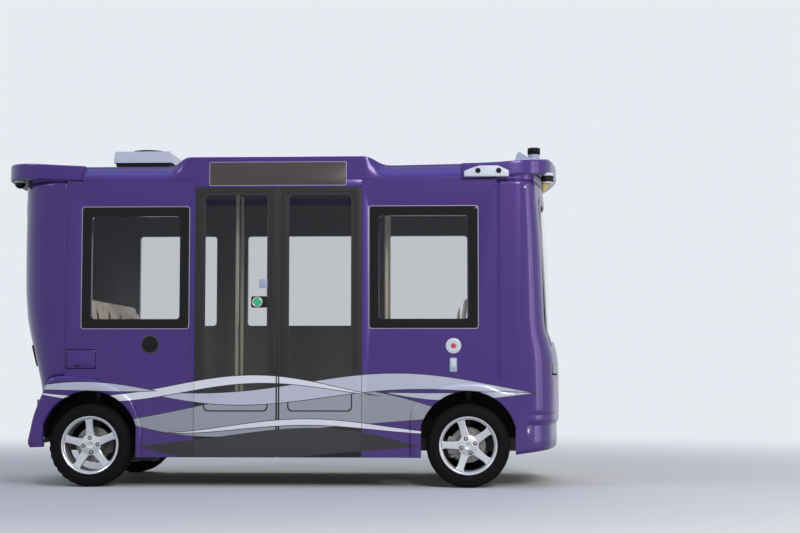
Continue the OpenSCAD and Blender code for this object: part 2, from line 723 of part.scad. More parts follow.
// Front suspension: lower arms with the steering pivots, struts and rack housing
subframe_h = 50;
module front_axle() {
  color("dimgray") {
    difference() {
      union() {
        translate([front_axle_x - 170, -rack_half, rail_low - subframe_h]) cube([230, 2 * rack_half, subframe_h - seam]);
        translate([rack_x, 0, rack_z]) y_bar(23, -rack_half, rack_half);
      }
      translate([rack_x, 0, rack_z]) y_bar(rack_r + fit, -rack_half - 1, rack_half + 1);
    }
    for (side = [-1, 1]) {
      y0 = rail_y - 20;
      translate([front_axle_x - 40, side > 0 ? y0 : -pivot_y, arm_z - 15]) cube([80, pivot_y - y0, 28]);
      translate([front_axle_x, side * pivot_y, arm_z - 15]) cylinder(r = 36, h = 28);
      translate([front_axle_x, side * pivot_y, arm_z]) cylinder(r = pivot_r, h = 225);
      translate([front_axle_x - 20, side > 0 ? strut_y : -pivot_y, arm_z + 200]) cube([40, pivot_y - strut_y, 25]);
      translate([front_axle_x, side * pivot_y, arm_z + 200]) cylinder(r = 20, h = 25);
      strut(front_axle_x, side, arm_z + 200);
    }
  }
}
// The steering arms' pins swing about this place, so the rack's eyes clear them both ways
steer_limit = 30;
rack_x = front_axle_x - steer_arm * (1 + cos(steer_limit)) / 2;
rack_z = arm_z + 22;
rack_r = 12;
rack_half = rail_y + rail_w / 2;
eye_r = 17;
eye_rim = 7;
// Rack bar with both tie rods and their eyes
module steering_rack() {
  color("silver") translate([rack_x, 0, rack_z]) difference() {
    union() {
      y_bar(rack_r, eye_r + 4 - pivot_y, pivot_y - eye_r - 4);
      for (side = [-1, 1]) translate([0, side * pivot_y, -8]) cylinder(r = eye_r + eye_rim, h = 16);
    }
    for (side = [-1, 1]) translate([0, side * pivot_y, -20]) cylinder(r = eye_r, h = 40);
  }
}
disc_in = wheel_y - 57;
disc_t = 22;
// Steered hub carrier: pivot sleeve, spindle, steering arm and brake caliper
module knuckle(side) {
  difference() {
    union() {
      translate([front_axle_x, side * pivot_y, arm_z + 24]) cylinder(r = 28, h = 166);
      at_wheel(front_axle_x, side) translate([0, 0, pivot_y - wheel_y + 10]) cylinder(r = spindle_r, h = 132);
      translate([front_axle_x - steer_arm, side > 0 ? pivot_y - 14 : -pivot_y - 14, rack_z + 15]) cube([steer_arm, 28, 14]);
      translate([front_axle_x - steer_arm, side * pivot_y, rack_z + 15]) cylinder(r = 14, h = 14);
      translate([front_axle_x - steer_arm, side * pivot_y, rack_z - 12]) cylinder(r = 7, h = 34);
      caliper(front_axle_x, side, -1);
      translate([front_axle_x - 88, side > 0 ? pivot_y - 14 : -pivot_y - 14, wheel_z - 12]) cube([88, 28, 24]);
      translate([front_axle_x - 112, side > 0 ? pivot_y - 14 : -disc_in + 8, wheel_z - 12])
        cube([30, disc_in - pivot_y + 6, 24]);
    }
    translate([front_axle_x, side * pivot_y, 0]) cylinder(r = pivot_r + fit, h = 1000);
  }
}
// Brake caliper astride the disc, ahead of or behind the axle
module caliper(x, side, dir) {
  side_slab(side, disc_in - 24, disc_in + disc_t + 20) translate([x, wheel_z]) difference() {
    intersection() {
      circle(disc_r + 24);
      rotate(dir > 0 ? 0 : 180) translate([disc_r * 0.55, -62]) square([200, 124]);
    }
    circle(disc_r + 6);
  }
  for (y = [disc_in - 24, disc_in + disc_t + 6]) side_slab(side, y, y + 14) translate([x, wheel_z]) intersection() {
    circle(disc_r + 24);
    rotate(dir > 0 ? 0 : 180) translate([disc_r * 0.62, -62]) square([200, 124]);
  }
}
module knuckle_right() {
  color("dimgray") knuckle(-1);
}
module knuckle_left() {
  color("dimgray") knuckle(1);
}
// Rear twist beam with trailing arms, spindles, calipers and dampers
beam_z = wheel_z - 105;
arm_y = rail_y + 90;
arm_len = 400;
carrier_y = wheel_y - 162;
carrier_t = 30;
module rear_axle() {
  color("dimgray") {
    translate([rear_axle_x, 0, beam_z]) y_bar(34, -carrier_y - 10, carrier_y + 10);
    for (side = [-1, 1]) {
      translate([rear_axle_x - 45, side > 0 ? carrier_y : -carrier_y - carrier_t, beam_z - 25]) cube([90, carrier_t, 220]);
      at_wheel(rear_axle_x, side) translate([0, 0, carrier_y + 10 - wheel_y]) cylinder(r = spindle_r, h = 180);
      translate([rear_axle_x, side * arm_y - 30, beam_z - 25]) cube([arm_len, 60, 50]);
      translate([rear_axle_x + arm_len, side * arm_y, beam_z]) y_bar(32, -40, 40);
      translate([rear_axle_x + arm_len - 15, side > 0 ? rail_y : -rail_y - 60, beam_z])
        cube([30, 60, rail_low - seam - beam_z]);
      caliper(rear_axle_x, side, 1);
      translate([rear_axle_x, side > 0 ? carrier_y : -disc_in + 8, wheel_z - 12]) cube([112, disc_in - 8 - carrier_y, 24]);
      translate([rear_axle_x - 20, side * strut_y - (side > 0 ? 20 : 40), wheel_z + 85]) cube([40, 60, 25]);
      strut(rear_axle_x, side, wheel_z + 95);
    }
  }
}

// Tyre section: radius and distance from the wheel's middle plane
bead_r = rim_r - 16;
function half_section() = [[bead_r + 0.3, tyre_w / 2 - 16], [rim_r + 0.3, tyre_w / 2 - 14.3], [rim_r + 14, tyre_w / 2 - 4],
  [rim_r + 37, tyre_w / 2], [tyre_r - 20, tyre_w / 2 - 6], [tyre_r - 5, tyre_w / 2 - 20], [tyre_r, tyre_w / 2 - 42]];
function inner_section() = [[bead_r + 3, tyre_w / 2 - 28], [rim_r + 8, tyre_w / 2 - 20], [rim_r + 37, tyre_w / 2 - 11],
  [tyre_r - 24, tyre_w / 2 - 18], [tyre_r - 15, tyre_w / 2 - 34], [tyre_r - 12, tyre_w / 2 - 46]];
module tyre(x, side) {
  out = half_section();
  inn = inner_section();
  at_wheel(x, side) rotate_extrude() polygon(concat(out, [for (p = reverse(out)) [p[0], -p[1]]],
    [for (p = inn) [p[0], -p[1]]], reverse(inn)));
}
// Rim with its spokes, hub pad and cap
module rim(x, side, turn) {
  flange = tyre_w / 2 - 13.8;
  at_wheel(x, side) rotate(turn) {
    rotate_extrude() polygon([[rim_r, flange], [rim_r, flange + 6], [rim_r - 14, flange + 6], [rim_r - 24, flange - 4],
      [rim_r - 26, -flange], [rim_r - 26, -flange - 6], [rim_r, -flange - 6], [rim_r, -flange],
      [bead_r - 0.3, -flange + 1], [bead_r - 3, 0], [bead_r - 0.3, flange - 1]]);
    difference() {
      union() {
        translate([0, 0, 30]) cylinder(r = 62, h = 40);
        for (i = [0:spoke_n - 1]) rotate(i * 360 / spoke_n - 90) translate([0, 0, 42]) linear_extrude(36)
          polygon([[10, -24], [rim_r - 21, -19], [rim_r - 21, 19], [10, 24]]);
        translate([0, 0, 66]) cylinder(r = 33, h = 18);
      }
      translate([0, 0, 29]) cylinder(r = 34.3, h = 20);
    }
  }
}
// Hub with its brake disc, turning on the spindle
module disc(x, side) {
  flange_in = 30 - seam;
  at_wheel(x, side) difference() {
    union() {
      translate([0, 0, -57]) cylinder(r = disc_r, h = disc_t);
      translate([0, 0, -57]) cylinder(r = 70, h = 57 + flange_in);
      translate([0, 0, flange_in - 2]) cylinder(r = 34, h = 16);
    }
    translate([0, 0, -60]) cylinder(r = spindle_r + fit, h = 100);
    translate([0, 0, -60]) cylinder(r = 58, h = 50);
  }
}
module tyre_front_right() { color("black") tyre(front_axle_x, -1); }
module tyre_front_left() { color("black") tyre(front_axle_x, 1); }
module tyre_rear_right() { color("black") tyre(rear_axle_x, -1); }
module tyre_rear_left() { color("black") tyre(rear_axle_x, 1); }
module rim_front_right() { color("silver") rim(front_axle_x, -1, 16.5); }
module rim_front_left() { color("silver") rim(front_axle_x, 1, 0); }
module rim_rear_right() { color("silver") rim(rear_axle_x, -1, 4); }
module rim_rear_left() { color("silver") rim(rear_axle_x, 1, 30); }
module disc_front_right() { color("gray") disc(front_axle_x, -1); }
module disc_front_left() { color("gray") disc(front_axle_x, 1); }
module disc_rear_right() { color("gray") disc(rear_axle_x, -1); }
module disc_rear_left() { color("gray") disc(rear_axle_x, 1); }

// Two rows of four seats on plinths that cover the wheel housings
seat_z = floor_z + seat_h;
plinth_top = seat_z - 50;
seat_x = 880;
seat_gap = 12;
seat_pitch = (2 * (inner_w - seat_side) + seat_gap) / 4;
seat_w = seat_pitch - seat_gap;
module seat_profile() {
  polygon([[0, 0], [0, 40], [60, 62], [380, 50], [445, back_h + 40], [470, back_h + 62], [500, back_h + 50],
    [500, back_h + 20], [425, 0]]);
}
module plinth(front) {
  difference() {
    translate([front - 20, 0, 0]) y_slab(-inner_w + 30, inner_w - 30) translate([0, floor_z]) square([440, plinth_top - floor_z]);
    translate([front, 0, 0]) y_slab(-inner_w + 50, inner_w - 50) translate([0, floor_z - 1]) square([400, plinth_top - floor_z - 20]);
  }
}
module seats() {
  color("beige") {
    difference() {
      union() {
        for (i = [0:3]) {
          y = (i - 1.5) * seat_pitch;
          translate([-seat_x, 0, plinth_top]) mirror([1, 0, 0]) y_slab(y - seat_w / 2, y + seat_w / 2) seat_profile();
          translate([seat_x, 0, plinth_top]) y_slab(y - seat_w / 2, y + seat_w / 2) seat_profile();
        }
        plinth(seat_x + 20);
        mirror([1, 0, 0]) plinth(seat_x + 20);
      }
      for (x = [front_axle_x, rear_axle_x]) y_slab(-1000, 1000) translate([x, wheel_z]) circle(housing_r + housing_t + 2);
    }
  }
}
// Upright grab poles from the floor to the ceiling
pole_y = 430;
pole_at = [[-340, -pole_y], [-427, pole_y], [777, -pole_y], [755, pole_y]];
module grab_poles() {
  color("silver") for (p = pole_at) translate([p[0], p[1], floor_z + seam])
    cylinder(r = pole_r, h = ceiling_z - 2 * seam - floor_z);
}

chassis_frame();
battery_pack();
floor_deck();
wheel_housings_front();
wheel_housings_rear();
rear_axle();
front_axle();
steering_rack();
knuckle_right();
knuckle_left();
tyre_front_right();
tyre_front_left();
tyre_rear_right();
tyre_rear_left();
rim_front_right();
rim_front_left();
rim_rear_right();
rim_rear_left();
disc_front_right();
disc_front_left();
disc_rear_right();
disc_rear_left();
panel_rear_right();
panel_front_right();
panel_left();
fenders();
rear_shell();
front_shell();
front_bumper();
rear_bumper();
side_windows();
windscreen();
rear_window();
door_leaf_rear();
door_leaf_front();
door_glass();
roof();
display_panel();
cooling_unit();
roof_sensor();
side_cameras();
corner_sensors();
lamps();
seats();
grab_poles();
charge_flap();
charge_inlet();
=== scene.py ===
"""Looks of the airport shuttle bus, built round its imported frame.

Sizes are in metres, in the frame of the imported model: +X forward, +Y to the
left, +Z up. Every sub-assembly is a class that builds and dresses its pieces.
"""
import logging
import math
from collections.abc import Callable, Iterable, Sequence
from dataclasses import dataclass
from enum import Enum
from functools import partial

import bmesh
import bpy
from mathutils import Matrix, Vector


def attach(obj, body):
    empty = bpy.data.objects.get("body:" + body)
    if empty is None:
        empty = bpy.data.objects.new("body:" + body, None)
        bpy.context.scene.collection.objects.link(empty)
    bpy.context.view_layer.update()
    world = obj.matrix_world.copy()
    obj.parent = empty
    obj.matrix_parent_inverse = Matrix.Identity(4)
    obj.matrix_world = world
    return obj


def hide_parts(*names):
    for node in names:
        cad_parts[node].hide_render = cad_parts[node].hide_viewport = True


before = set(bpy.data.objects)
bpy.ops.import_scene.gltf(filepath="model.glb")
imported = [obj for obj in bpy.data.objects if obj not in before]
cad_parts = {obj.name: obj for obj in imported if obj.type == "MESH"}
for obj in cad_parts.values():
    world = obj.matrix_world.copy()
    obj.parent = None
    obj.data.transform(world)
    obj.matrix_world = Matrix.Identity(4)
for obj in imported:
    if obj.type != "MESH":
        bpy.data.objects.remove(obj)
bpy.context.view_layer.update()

LOG = logging.getLogger("shuttle")

Point = tuple[float, float, float]
Flat = tuple[float, float]
Table = Sequence[Flat]
Feeds = dict[str | int, object]

HALF_W = 0.870
WALL_TOP = 2.203
SILL_Z = 0.213
WHEEL_Z = 0.298
WHEEL_Y = 0.772
FRONT_AXLE = 1.379
REAR_AXLE = -1.333
FLOOR_Z = 0.370

ORIGIN: Point = (0.0, 0.0, 0.0)
UP: Point = (0.0, 0.0, 1.0)
OUT: Point = (0.0, -1.0, 0.0)
EDGE_INK: Point = (0.012, 0.012, 0.014)


class Side(Enum):
    """The two sides of the bus, as signs along Y."""

    RIGHT = -1
    LEFT = 1


class Grain(Enum):
    """Kinds of surface detail that a finish can carry."""

    PAINT = "paint"
    FILM = "film"
    PLASTIC = "plastic"
    RUBBER = "rubber"
    CAST = "cast"
    BRUSHED = "brushed"
    LEATHER = "leather"
    STUDDED = "studded"
    CLEAR = "clear"
    LAMP = "lamp"


def curve(table: Table, x: float) -> float:
    """Reads a table smoothly between its rows.

    Args:
        table: Rows of place and value, rising in place.
        x: The place to read at.

    Returns:
        The value, held level past both ends.
    """
    if x <= table[0][0]:
        return table[0][1]
    if x >= table[-1][0]:
        return table[-1][1]
    i = next(k for k in range(len(table) - 1) if x < table[k + 1][0])

    def slope(k: int) -> float:
        """Mean slope round a row."""
        a, b = max(k - 1, 0), min(k + 1, len(table) - 1)
        return (table[b][1] - table[a][1]) / (table[b][0] - table[a][0])

    h = table[i + 1][0] - table[i][0]
    t = (x - table[i][0]) / h
    return ((2 * t**3 - 3 * t**2 + 1) * table[i][1] + (t**3 - 2 * t**2 + t) * h * slope(i)
            + (3 * t**2 - 2 * t**3) * table[i + 1][1] + (t**3 - t**2) * h * slope(i + 1))


def ease(x: float, low: float, high: float) -> float:
    """Rises smoothly from 0 at low to 1 at high."""
    t = min(max((x - low) / (high - low), 0.0), 1.0)
    return t * t * (3 - 2 * t)


def resample(points: Sequence[Flat], count: int) -> list[Flat]:
    """Spreads points evenly along a polyline.

    Args:
        points: The polyline's corners.
        count: How many points to return.

    Returns:
        Points at equal distances, both ends among them.
    """
    lengths = [0.0]
    for a, b in zip(points, points[1:]):
        lengths.append(lengths[-1] + math.dist(a, b))
    found = []
    for k in range(count):
        want = lengths[-1] * k / (count - 1)
        i = max(j for j in range(len(points) - 1) if lengths[j] <= want + 1e-9)
        t = (want - lengths[i]) / max(lengths[i + 1] - lengths[i], 1e-9)
        found.append((points[i][0] + t * (points[i + 1][0] - points[i][0]),
                      points[i][1] + t * (points[i + 1][1] - points[i][1])))
    return found


def round_rect(cx: float, cz: float, w: float, h: float, r: float, steps: int = 6) -> list[Flat]:
    """Outline of a rectangle with round corners, counter-clockwise.

    Args:
        cx: Middle along the first direction.
        cz: Middle along the second direction.
        w: Width.
        h: Height.
        r: Corner radius.
        steps: Segments in each corner.

    Returns:
        The outline's points.
    """
    points = []
    for k, (sx, sz) in enumerate(((1, 1), (-1, 1), (-1, -1), (1, -1))):
        for i in range(steps + 1):
            a = math.radians(90 * k + 90 * i / steps)
            points.append((cx + sx * (w / 2 - r) + r * math.cos(a), cz + sz * (h / 2 - r) + r * math.sin(a)))
    return points


@dataclass(frozen=True)
class Ribbon:
    """A film band with pointed ends that swings along the side, with a thin black edge."""

    colour: Point
    x: float
    half: float
    z: float
    thick: float
    swing: float = 0.0
    pace: float = 2.5
    phase: float = 0.0
    rise: float = 0.0
    edge: float = 0.005

    def span(self, x: float, grow: float = 0.0) -> Flat:
        """Its lower and upper edge at a place along the side, grown by a little."""
        share = (x - self.x) / self.half
        middle = self.z + self.swing * math.sin(self.pace * x + self.phase) + self.rise * x
        half = self.thick * (1 - share * share) + grow
        return middle - half, middle + half


RIBBONS = (
    Ribbon((0.27, 0.28, 0.33), 0.10, 1.20, 0.520, 0.150, 0.045, 2.6, 0.4, 0.02),
    Ribbon((0.44, 0.46, 0.56), 0.45, 1.42, 0.690, 0.062, 0.055, 2.5, -0.7, 0.01),
    Ribbon((0.66, 0.67, 0.74), -0.55, 1.22, 0.700, 0.030, 0.070, 2.7, 1.9),
    Ribbon((0.014, 0.014, 0.018), 0.02, 0.98, 0.300, 0.100, 0.030, 3.1, 0.2),
    Ribbon((0.66, 0.67, 0.74), 0.25, 1.00, 0.425, 0.020, 0.040, 3.0, 0.9),
    Ribbon((0.44, 0.46, 0.56), 1.32, 0.52, 0.690, 0.026, 0.020, 4.0, 0.0, -0.02),
    Ribbon((0.44, 0.46, 0.56), -1.34, 0.46, 0.700, 0.030, 0.020, 4.0, 1.0),
)


class Wiring:
    """A node tree with short ways to add and join its nodes."""

    def __init__(self, tree: bpy.types.NodeTree) -> None:
        """Takes the tree to work on."""
        self.tree = tree

    def feed(self, node: bpy.types.Node, inputs: Feeds) -> None:
        """Joins sockets to a node's inputs, or sets the values that it gets."""
        for key, value in inputs.items():
            if isinstance(value, bpy.types.NodeSocket):
                self.tree.links.new(value, node.inputs[key])
            else:
                node.inputs[key].default_value = value

    def add(self, kind: str, output: str, inputs: Feeds | None = None, **settings: str) -> bpy.types.NodeSocket:
        """Adds a shader node.

        Args:
            kind: Its type, without the word before it that all share.
            output: The output that is wanted.
            inputs: What its inputs get.
            settings: Its own settings.

        Returns:
            That output.
        """
        node = self.tree.nodes.new(f"ShaderNode{kind}")
        for key, value in settings.items():
            setattr(node, key, value)
        self.feed(node, inputs or {})
        return node.outputs[output]

    def math(self, how: str, *terms: "bpy.types.NodeSocket | float") -> bpy.types.NodeSocket:
        """Adds a Math node and returns its value."""
        return self.add("Math", "Value", dict(enumerate(terms)), operation=how)

    def mix(self, share: bpy.types.NodeSocket, first: object, second: object) -> bpy.types.NodeSocket:
        """Mixes two colours."""
        return self.add("Mix", "Result", {"Factor": share, "A": first, "B": second}, data_type="RGBA")

    def shade(self, share: bpy.types.NodeSocket, first: bpy.types.NodeSocket,
              second: bpy.types.NodeSocket) -> bpy.types.NodeSocket:
        """Mixes two shaders."""
        return self.add("MixShader", "Shader", {"Fac": share, 1: first, 2: second})


@dataclass(frozen=True)
class Finish:
    """One surface finish, made into a node material with detail on object coordinates."""

    name: str
    slot: str
    colour: Point
    grain: Grain
    roughness: float = 0.5
    metallic: float = 0.0
    coat: float = 0.0
    alpha: float = 1.0
    glow: float = 0.0
    vary: float = 0.12
    dust: float = 0.0
    ribbons: tuple[Ribbon, ...] = ()
    shine: float = 0.5

    def material(self) -> bpy.types.Material:
        """Builds the material once and returns it after that."""
        title = f"{self.name}_finish"
        if title in bpy.data.materials:
            return bpy.data.materials[title]
        mat = bpy.data.materials.new(title)
        mat.use_nodes = True
        mat.diffuse_color = (*self.colour, self.alpha)
        wires = Wiring(mat.node_tree)
        place = wires.add("TexCoord", "Object")
        fine, coarse, stretch, depth = self._scales()
        grain = self._texture(wires, wires.add("Mapping", "Vector", {"Scale": stretch, "Vector": place}), fine)
        cloud = wires.add("TexNoise", "Fac", {"Scale": coarse, "Detail": 3.0, "Vector": place})
        colour = wires.mix(cloud, *((*(min(c * share, 1.0) for c in self.colour), 1.0)
                                    for share in (1 - self.vary, 1 + self.vary)))
        if self.ribbons:
            colour = self._banded(wires, place, colour)
        if self.dust:
            colour = self._dusty(wires, place, cloud, colour)
        rough = wires.add("MapRange", "Result", {
            "Value": grain, "From Min": 0.3, "From Max": 0.7, "To Min": self.roughness * 0.85,
            "To Max": min(self.roughness * 1.15, 1.0)})
        looks = {"Base Color": colour, "Roughness": rough, "Metallic": self.metallic, "Coat Weight": self.coat,
                 "Coat Roughness": 0.04, "Alpha": self.alpha, "Specular IOR Level": self.shine}
        if depth:
            looks["Normal"] = wires.add("Bump", "Normal", {"Strength": depth, "Distance": 0.001, "Height": grain})
        if self.glow:
            looks |= {"Emission Color": (*self.colour, 1.0), "Emission Strength": self.glow}
        wires.feed(mat.node_tree.nodes["Principled BSDF"], looks)
        return mat

    def _scales(self) -> tuple[float, float, Point, float]:
        """Scale of the fine and coarse detail, its stretch, and the depth of its bump."""
        even = (1.0, 1.0, 1.0)
        return {
            Grain.PAINT: (900.0, 1.6, even, 0.02),
            Grain.FILM: (260.0, 5.0, even, 0.04),
            Grain.PLASTIC: (900.0, 12.0, even, 0.25),
            Grain.RUBBER: (420.0, 20.0, even, 0.3),
            Grain.CAST: (520.0, 24.0, even, 0.5),
            Grain.BRUSHED: (60.0, 30.0, (1.0, 1.0, 26.0), 0.06),
            Grain.LEATHER: (330.0, 9.0, even, 0.35),
            Grain.STUDDED: (95.0, 7.0, even, 0.5),
            Grain.CLEAR: (30.0, 2.0, even, 0.0),
            Grain.LAMP: (120.0, 30.0, even, 0.15),
        }[self.grain]

    def _texture(self, wires: Wiring, vector: bpy.types.NodeSocket, scale: float) -> bpy.types.NodeSocket:
        """Adds the fine detail's texture, cellular or noise, and returns its height."""
        if self.grain in (Grain.LEATHER, Grain.STUDDED):
            return wires.add("TexVoronoi", "Distance", {"Scale": scale, "Vector": vector})
        return wires.add("TexNoise", "Fac", {"Scale": scale, "Detail": 2.0, "Vector": vector})

    def _banded(self, wires: Wiring, place: bpy.types.NodeSocket, colour: bpy.types.NodeSocket) -> bpy.types.NodeSocket:
        """Lays the film bands over the colour on both sides of the bus.

        Args:
            wires: The material's node tree.
            place: Object coordinates.
            colour: The colour below.

        Returns:
            The colour with the bands.
        """
        x = wires.add("SeparateXYZ", "X", {"Vector": place})
        y, z = x.node.outputs["Y"], x.node.outputs["Z"]
        wide = wires.math("GREATER_THAN", wires.math("ABSOLUTE", y), 0.8)
        for band in self.ribbons:
            share = wires.math("MULTIPLY_ADD", x, 1 / band.half, -band.x / band.half)
            half = wires.math("MULTIPLY_ADD", wires.math("MULTIPLY", share, share), -band.thick, band.thick)
            swing = wires.math("SINE", wires.math("MULTIPLY_ADD", x, band.pace, band.phase))
            level = wires.math("MULTIPLY_ADD", swing, band.swing, band.z)
            level = wires.math("MULTIPLY_ADD", x, band.rise, level)
            away = wires.math("ABSOLUTE", wires.math("SUBTRACT", z, level))
            for limit, tint in ((wires.math("ADD", half, band.edge), EDGE_INK), (half, band.colour)):
                inside = wires.math("MULTIPLY", wires.math("LESS_THAN", away, limit), wide)
                colour = wires.mix(inside, colour, (*tint, 1.0))
        return colour

    def _dusty(self, wires: Wiring, place: bpy.types.NodeSocket, cloud: bpy.types.NodeSocket,
               colour: bpy.types.NodeSocket) -> bpy.types.NodeSocket:
        """Lays road dust over the lowest part.

        Args:
            wires: The material's node tree.
            place: Object coordinates.
            cloud: A coarse noise that breaks the dust up.
            colour: The clean colour.

        Returns:
            The dusty colour.
        """
        z = wires.add("SeparateXYZ", "Z", {"Vector": place})
        low = wires.add("MapRange", "Result", {
            "Value": z, "From Min": 0.15, "From Max": 0.75, "To Min": self.dust, "To Max": 0.0})
        return wires.mix(wires.math("MULTIPLY", low, cloud), colour, (0.32, 0.29, 0.26, 1.0))


@dataclass(frozen=True)
class Palette:
    """All finishes of the bus."""

    paint: Finish = Finish("violet_paint", "body_paint", (0.046, 0.016, 0.165), Grain.PAINT, 0.30, 0.25, 0.35,
                           vary=0.10, dust=0.08, ribbons=RIBBONS, shine=0.35)
    lining: Finish = Finish("pale_lining", "body_paint", (0.13, 0.13, 0.135), Grain.PLASTIC, 0.6)
    frame_dark: Finish = Finish("door_frame_coat", "dark_frame", (0.014, 0.013, 0.014), Grain.PAINT, 0.3, shine=0.35)
    glass: Finish = Finish("tinted_glass", "glazing", (0.030, 0.038, 0.040), Grain.CLEAR, 0.03, alpha=0.11, vary=0.04)
    frit: Finish = Finish("black_glass_band", "glazing", (0.005, 0.005, 0.005), Grain.CLEAR, 0.10, shine=0.2)
    seal: Finish = Finish("rubber_seal", "glazing", (0.012, 0.012, 0.013), Grain.RUBBER, 0.7)
    trim: Finish = Finish("window_trim", "glazing", (0.30, 0.28, 0.38), Grain.PAINT, 0.35, 0.2)
    rubber: Finish = Finish("tyre_rubber", "tyre_rubber", (0.0045, 0.0045, 0.005), Grain.RUBBER, 0.8, vary=0.3,
                            shine=0.12)
    alloy: Finish = Finish("wheel_alloy", "wheel_alloy", (0.62, 0.63, 0.66), Grain.PAINT, 0.3, 0.75, 0.5, vary=0.05)
    # Duller cast barrel of the rim, darkened further as painted shade of the pocket behind the spokes.
    barrel: Finish = Finish("wheel_barrel_shaded", "wheel_alloy", (0.33, 0.34, 0.36), Grain.CAST, 0.5, 0.6, vary=0.2)
    iron: Finish = Finish("brake_iron", "brake_iron", (0.30, 0.29, 0.28), Grain.BRUSHED, 0.38, 0.8, vary=0.2)
    chassis: Finish = Finish("chassis_coat", "chassis_paint", (0.030, 0.030, 0.033), Grain.CAST, 0.6, vary=0.3,
                             dust=0.4)
    steel: Finish = Finish("bare_steel", "bare_steel", (0.55, 0.54, 0.52), Grain.BRUSHED, 0.35, 0.9)
    pole: Finish = Finish("pole_coat", "bare_steel", (0.62, 0.58, 0.48), Grain.PAINT, 0.35, coat=0.3, vary=0.05)
    battery: Finish = Finish("battery_case", "battery_case", (0.25, 0.26, 0.27), Grain.CAST, 0.5, 0.6)
    dark: Finish = Finish("dark_plastic", "dark_plastic", (0.006, 0.006, 0.007), Grain.PLASTIC, 0.6, shine=0.2)
    floor: Finish = Finish("floor_cover", "floor_cover", (0.16, 0.17, 0.19), Grain.STUDDED, 0.7, vary=0.2)
    pale: Finish = Finish("pale_housing", "pale_plastic", (0.52, 0.56, 0.64), Grain.PLASTIC, 0.4, coat=0.2, vary=0.05)
    grey: Finish = Finish("grey_housing", "pale_plastic", (0.30, 0.37, 0.48), Grain.PLASTIC, 0.45, vary=0.06)
    screen: Finish = Finish("display_face", "display_black", (0.030, 0.020, 0.018), Grain.CLEAR, 0.2, coat=0.5)
    lens: Finish = Finish("lamp_lens", "lamp_cover", (0.75, 0.77, 0.80), Grain.LAMP, 0.12, coat=1.0)
    red_lens: Finish = Finish("red_lens", "lamp_cover", (0.45, 0.02, 0.02), Grain.LAMP, 0.15, coat=1.0)
    seat: Finish = Finish("seat_cover", "seat_cover", (0.82, 0.73, 0.62), Grain.LEATHER, 0.5, vary=0.06)
    amber: Finish = Finish("amber_housing", "dark_plastic", (0.50, 0.38, 0.13), Grain.PLASTIC, 0.5)
    smoked: Finish = Finish("smoked_lens", "lamp_cover", (0.035, 0.014, 0.110), Grain.LAMP, 0.35, shine=0.3)
    seam: Finish = Finish("seam_shadow", "body_paint", (0.012, 0.006, 0.035), Grain.PAINT, 0.6, shine=0.2)
    green: Finish = Finish("green_button", "lamp_cover", (0.01, 0.28, 0.12), Grain.LAMP, 0.25, coat=0.6, glow=0.4)


INK = Palette()


def show(name: str, data: bpy.types.ID) -> bpy.types.Object:
    """Makes an object of a mesh, lamp or camera and puts it in the scene."""
    obj = bpy.data.objects.new(name, data)
    bpy.context.scene.collection.objects.link(obj)
    return obj


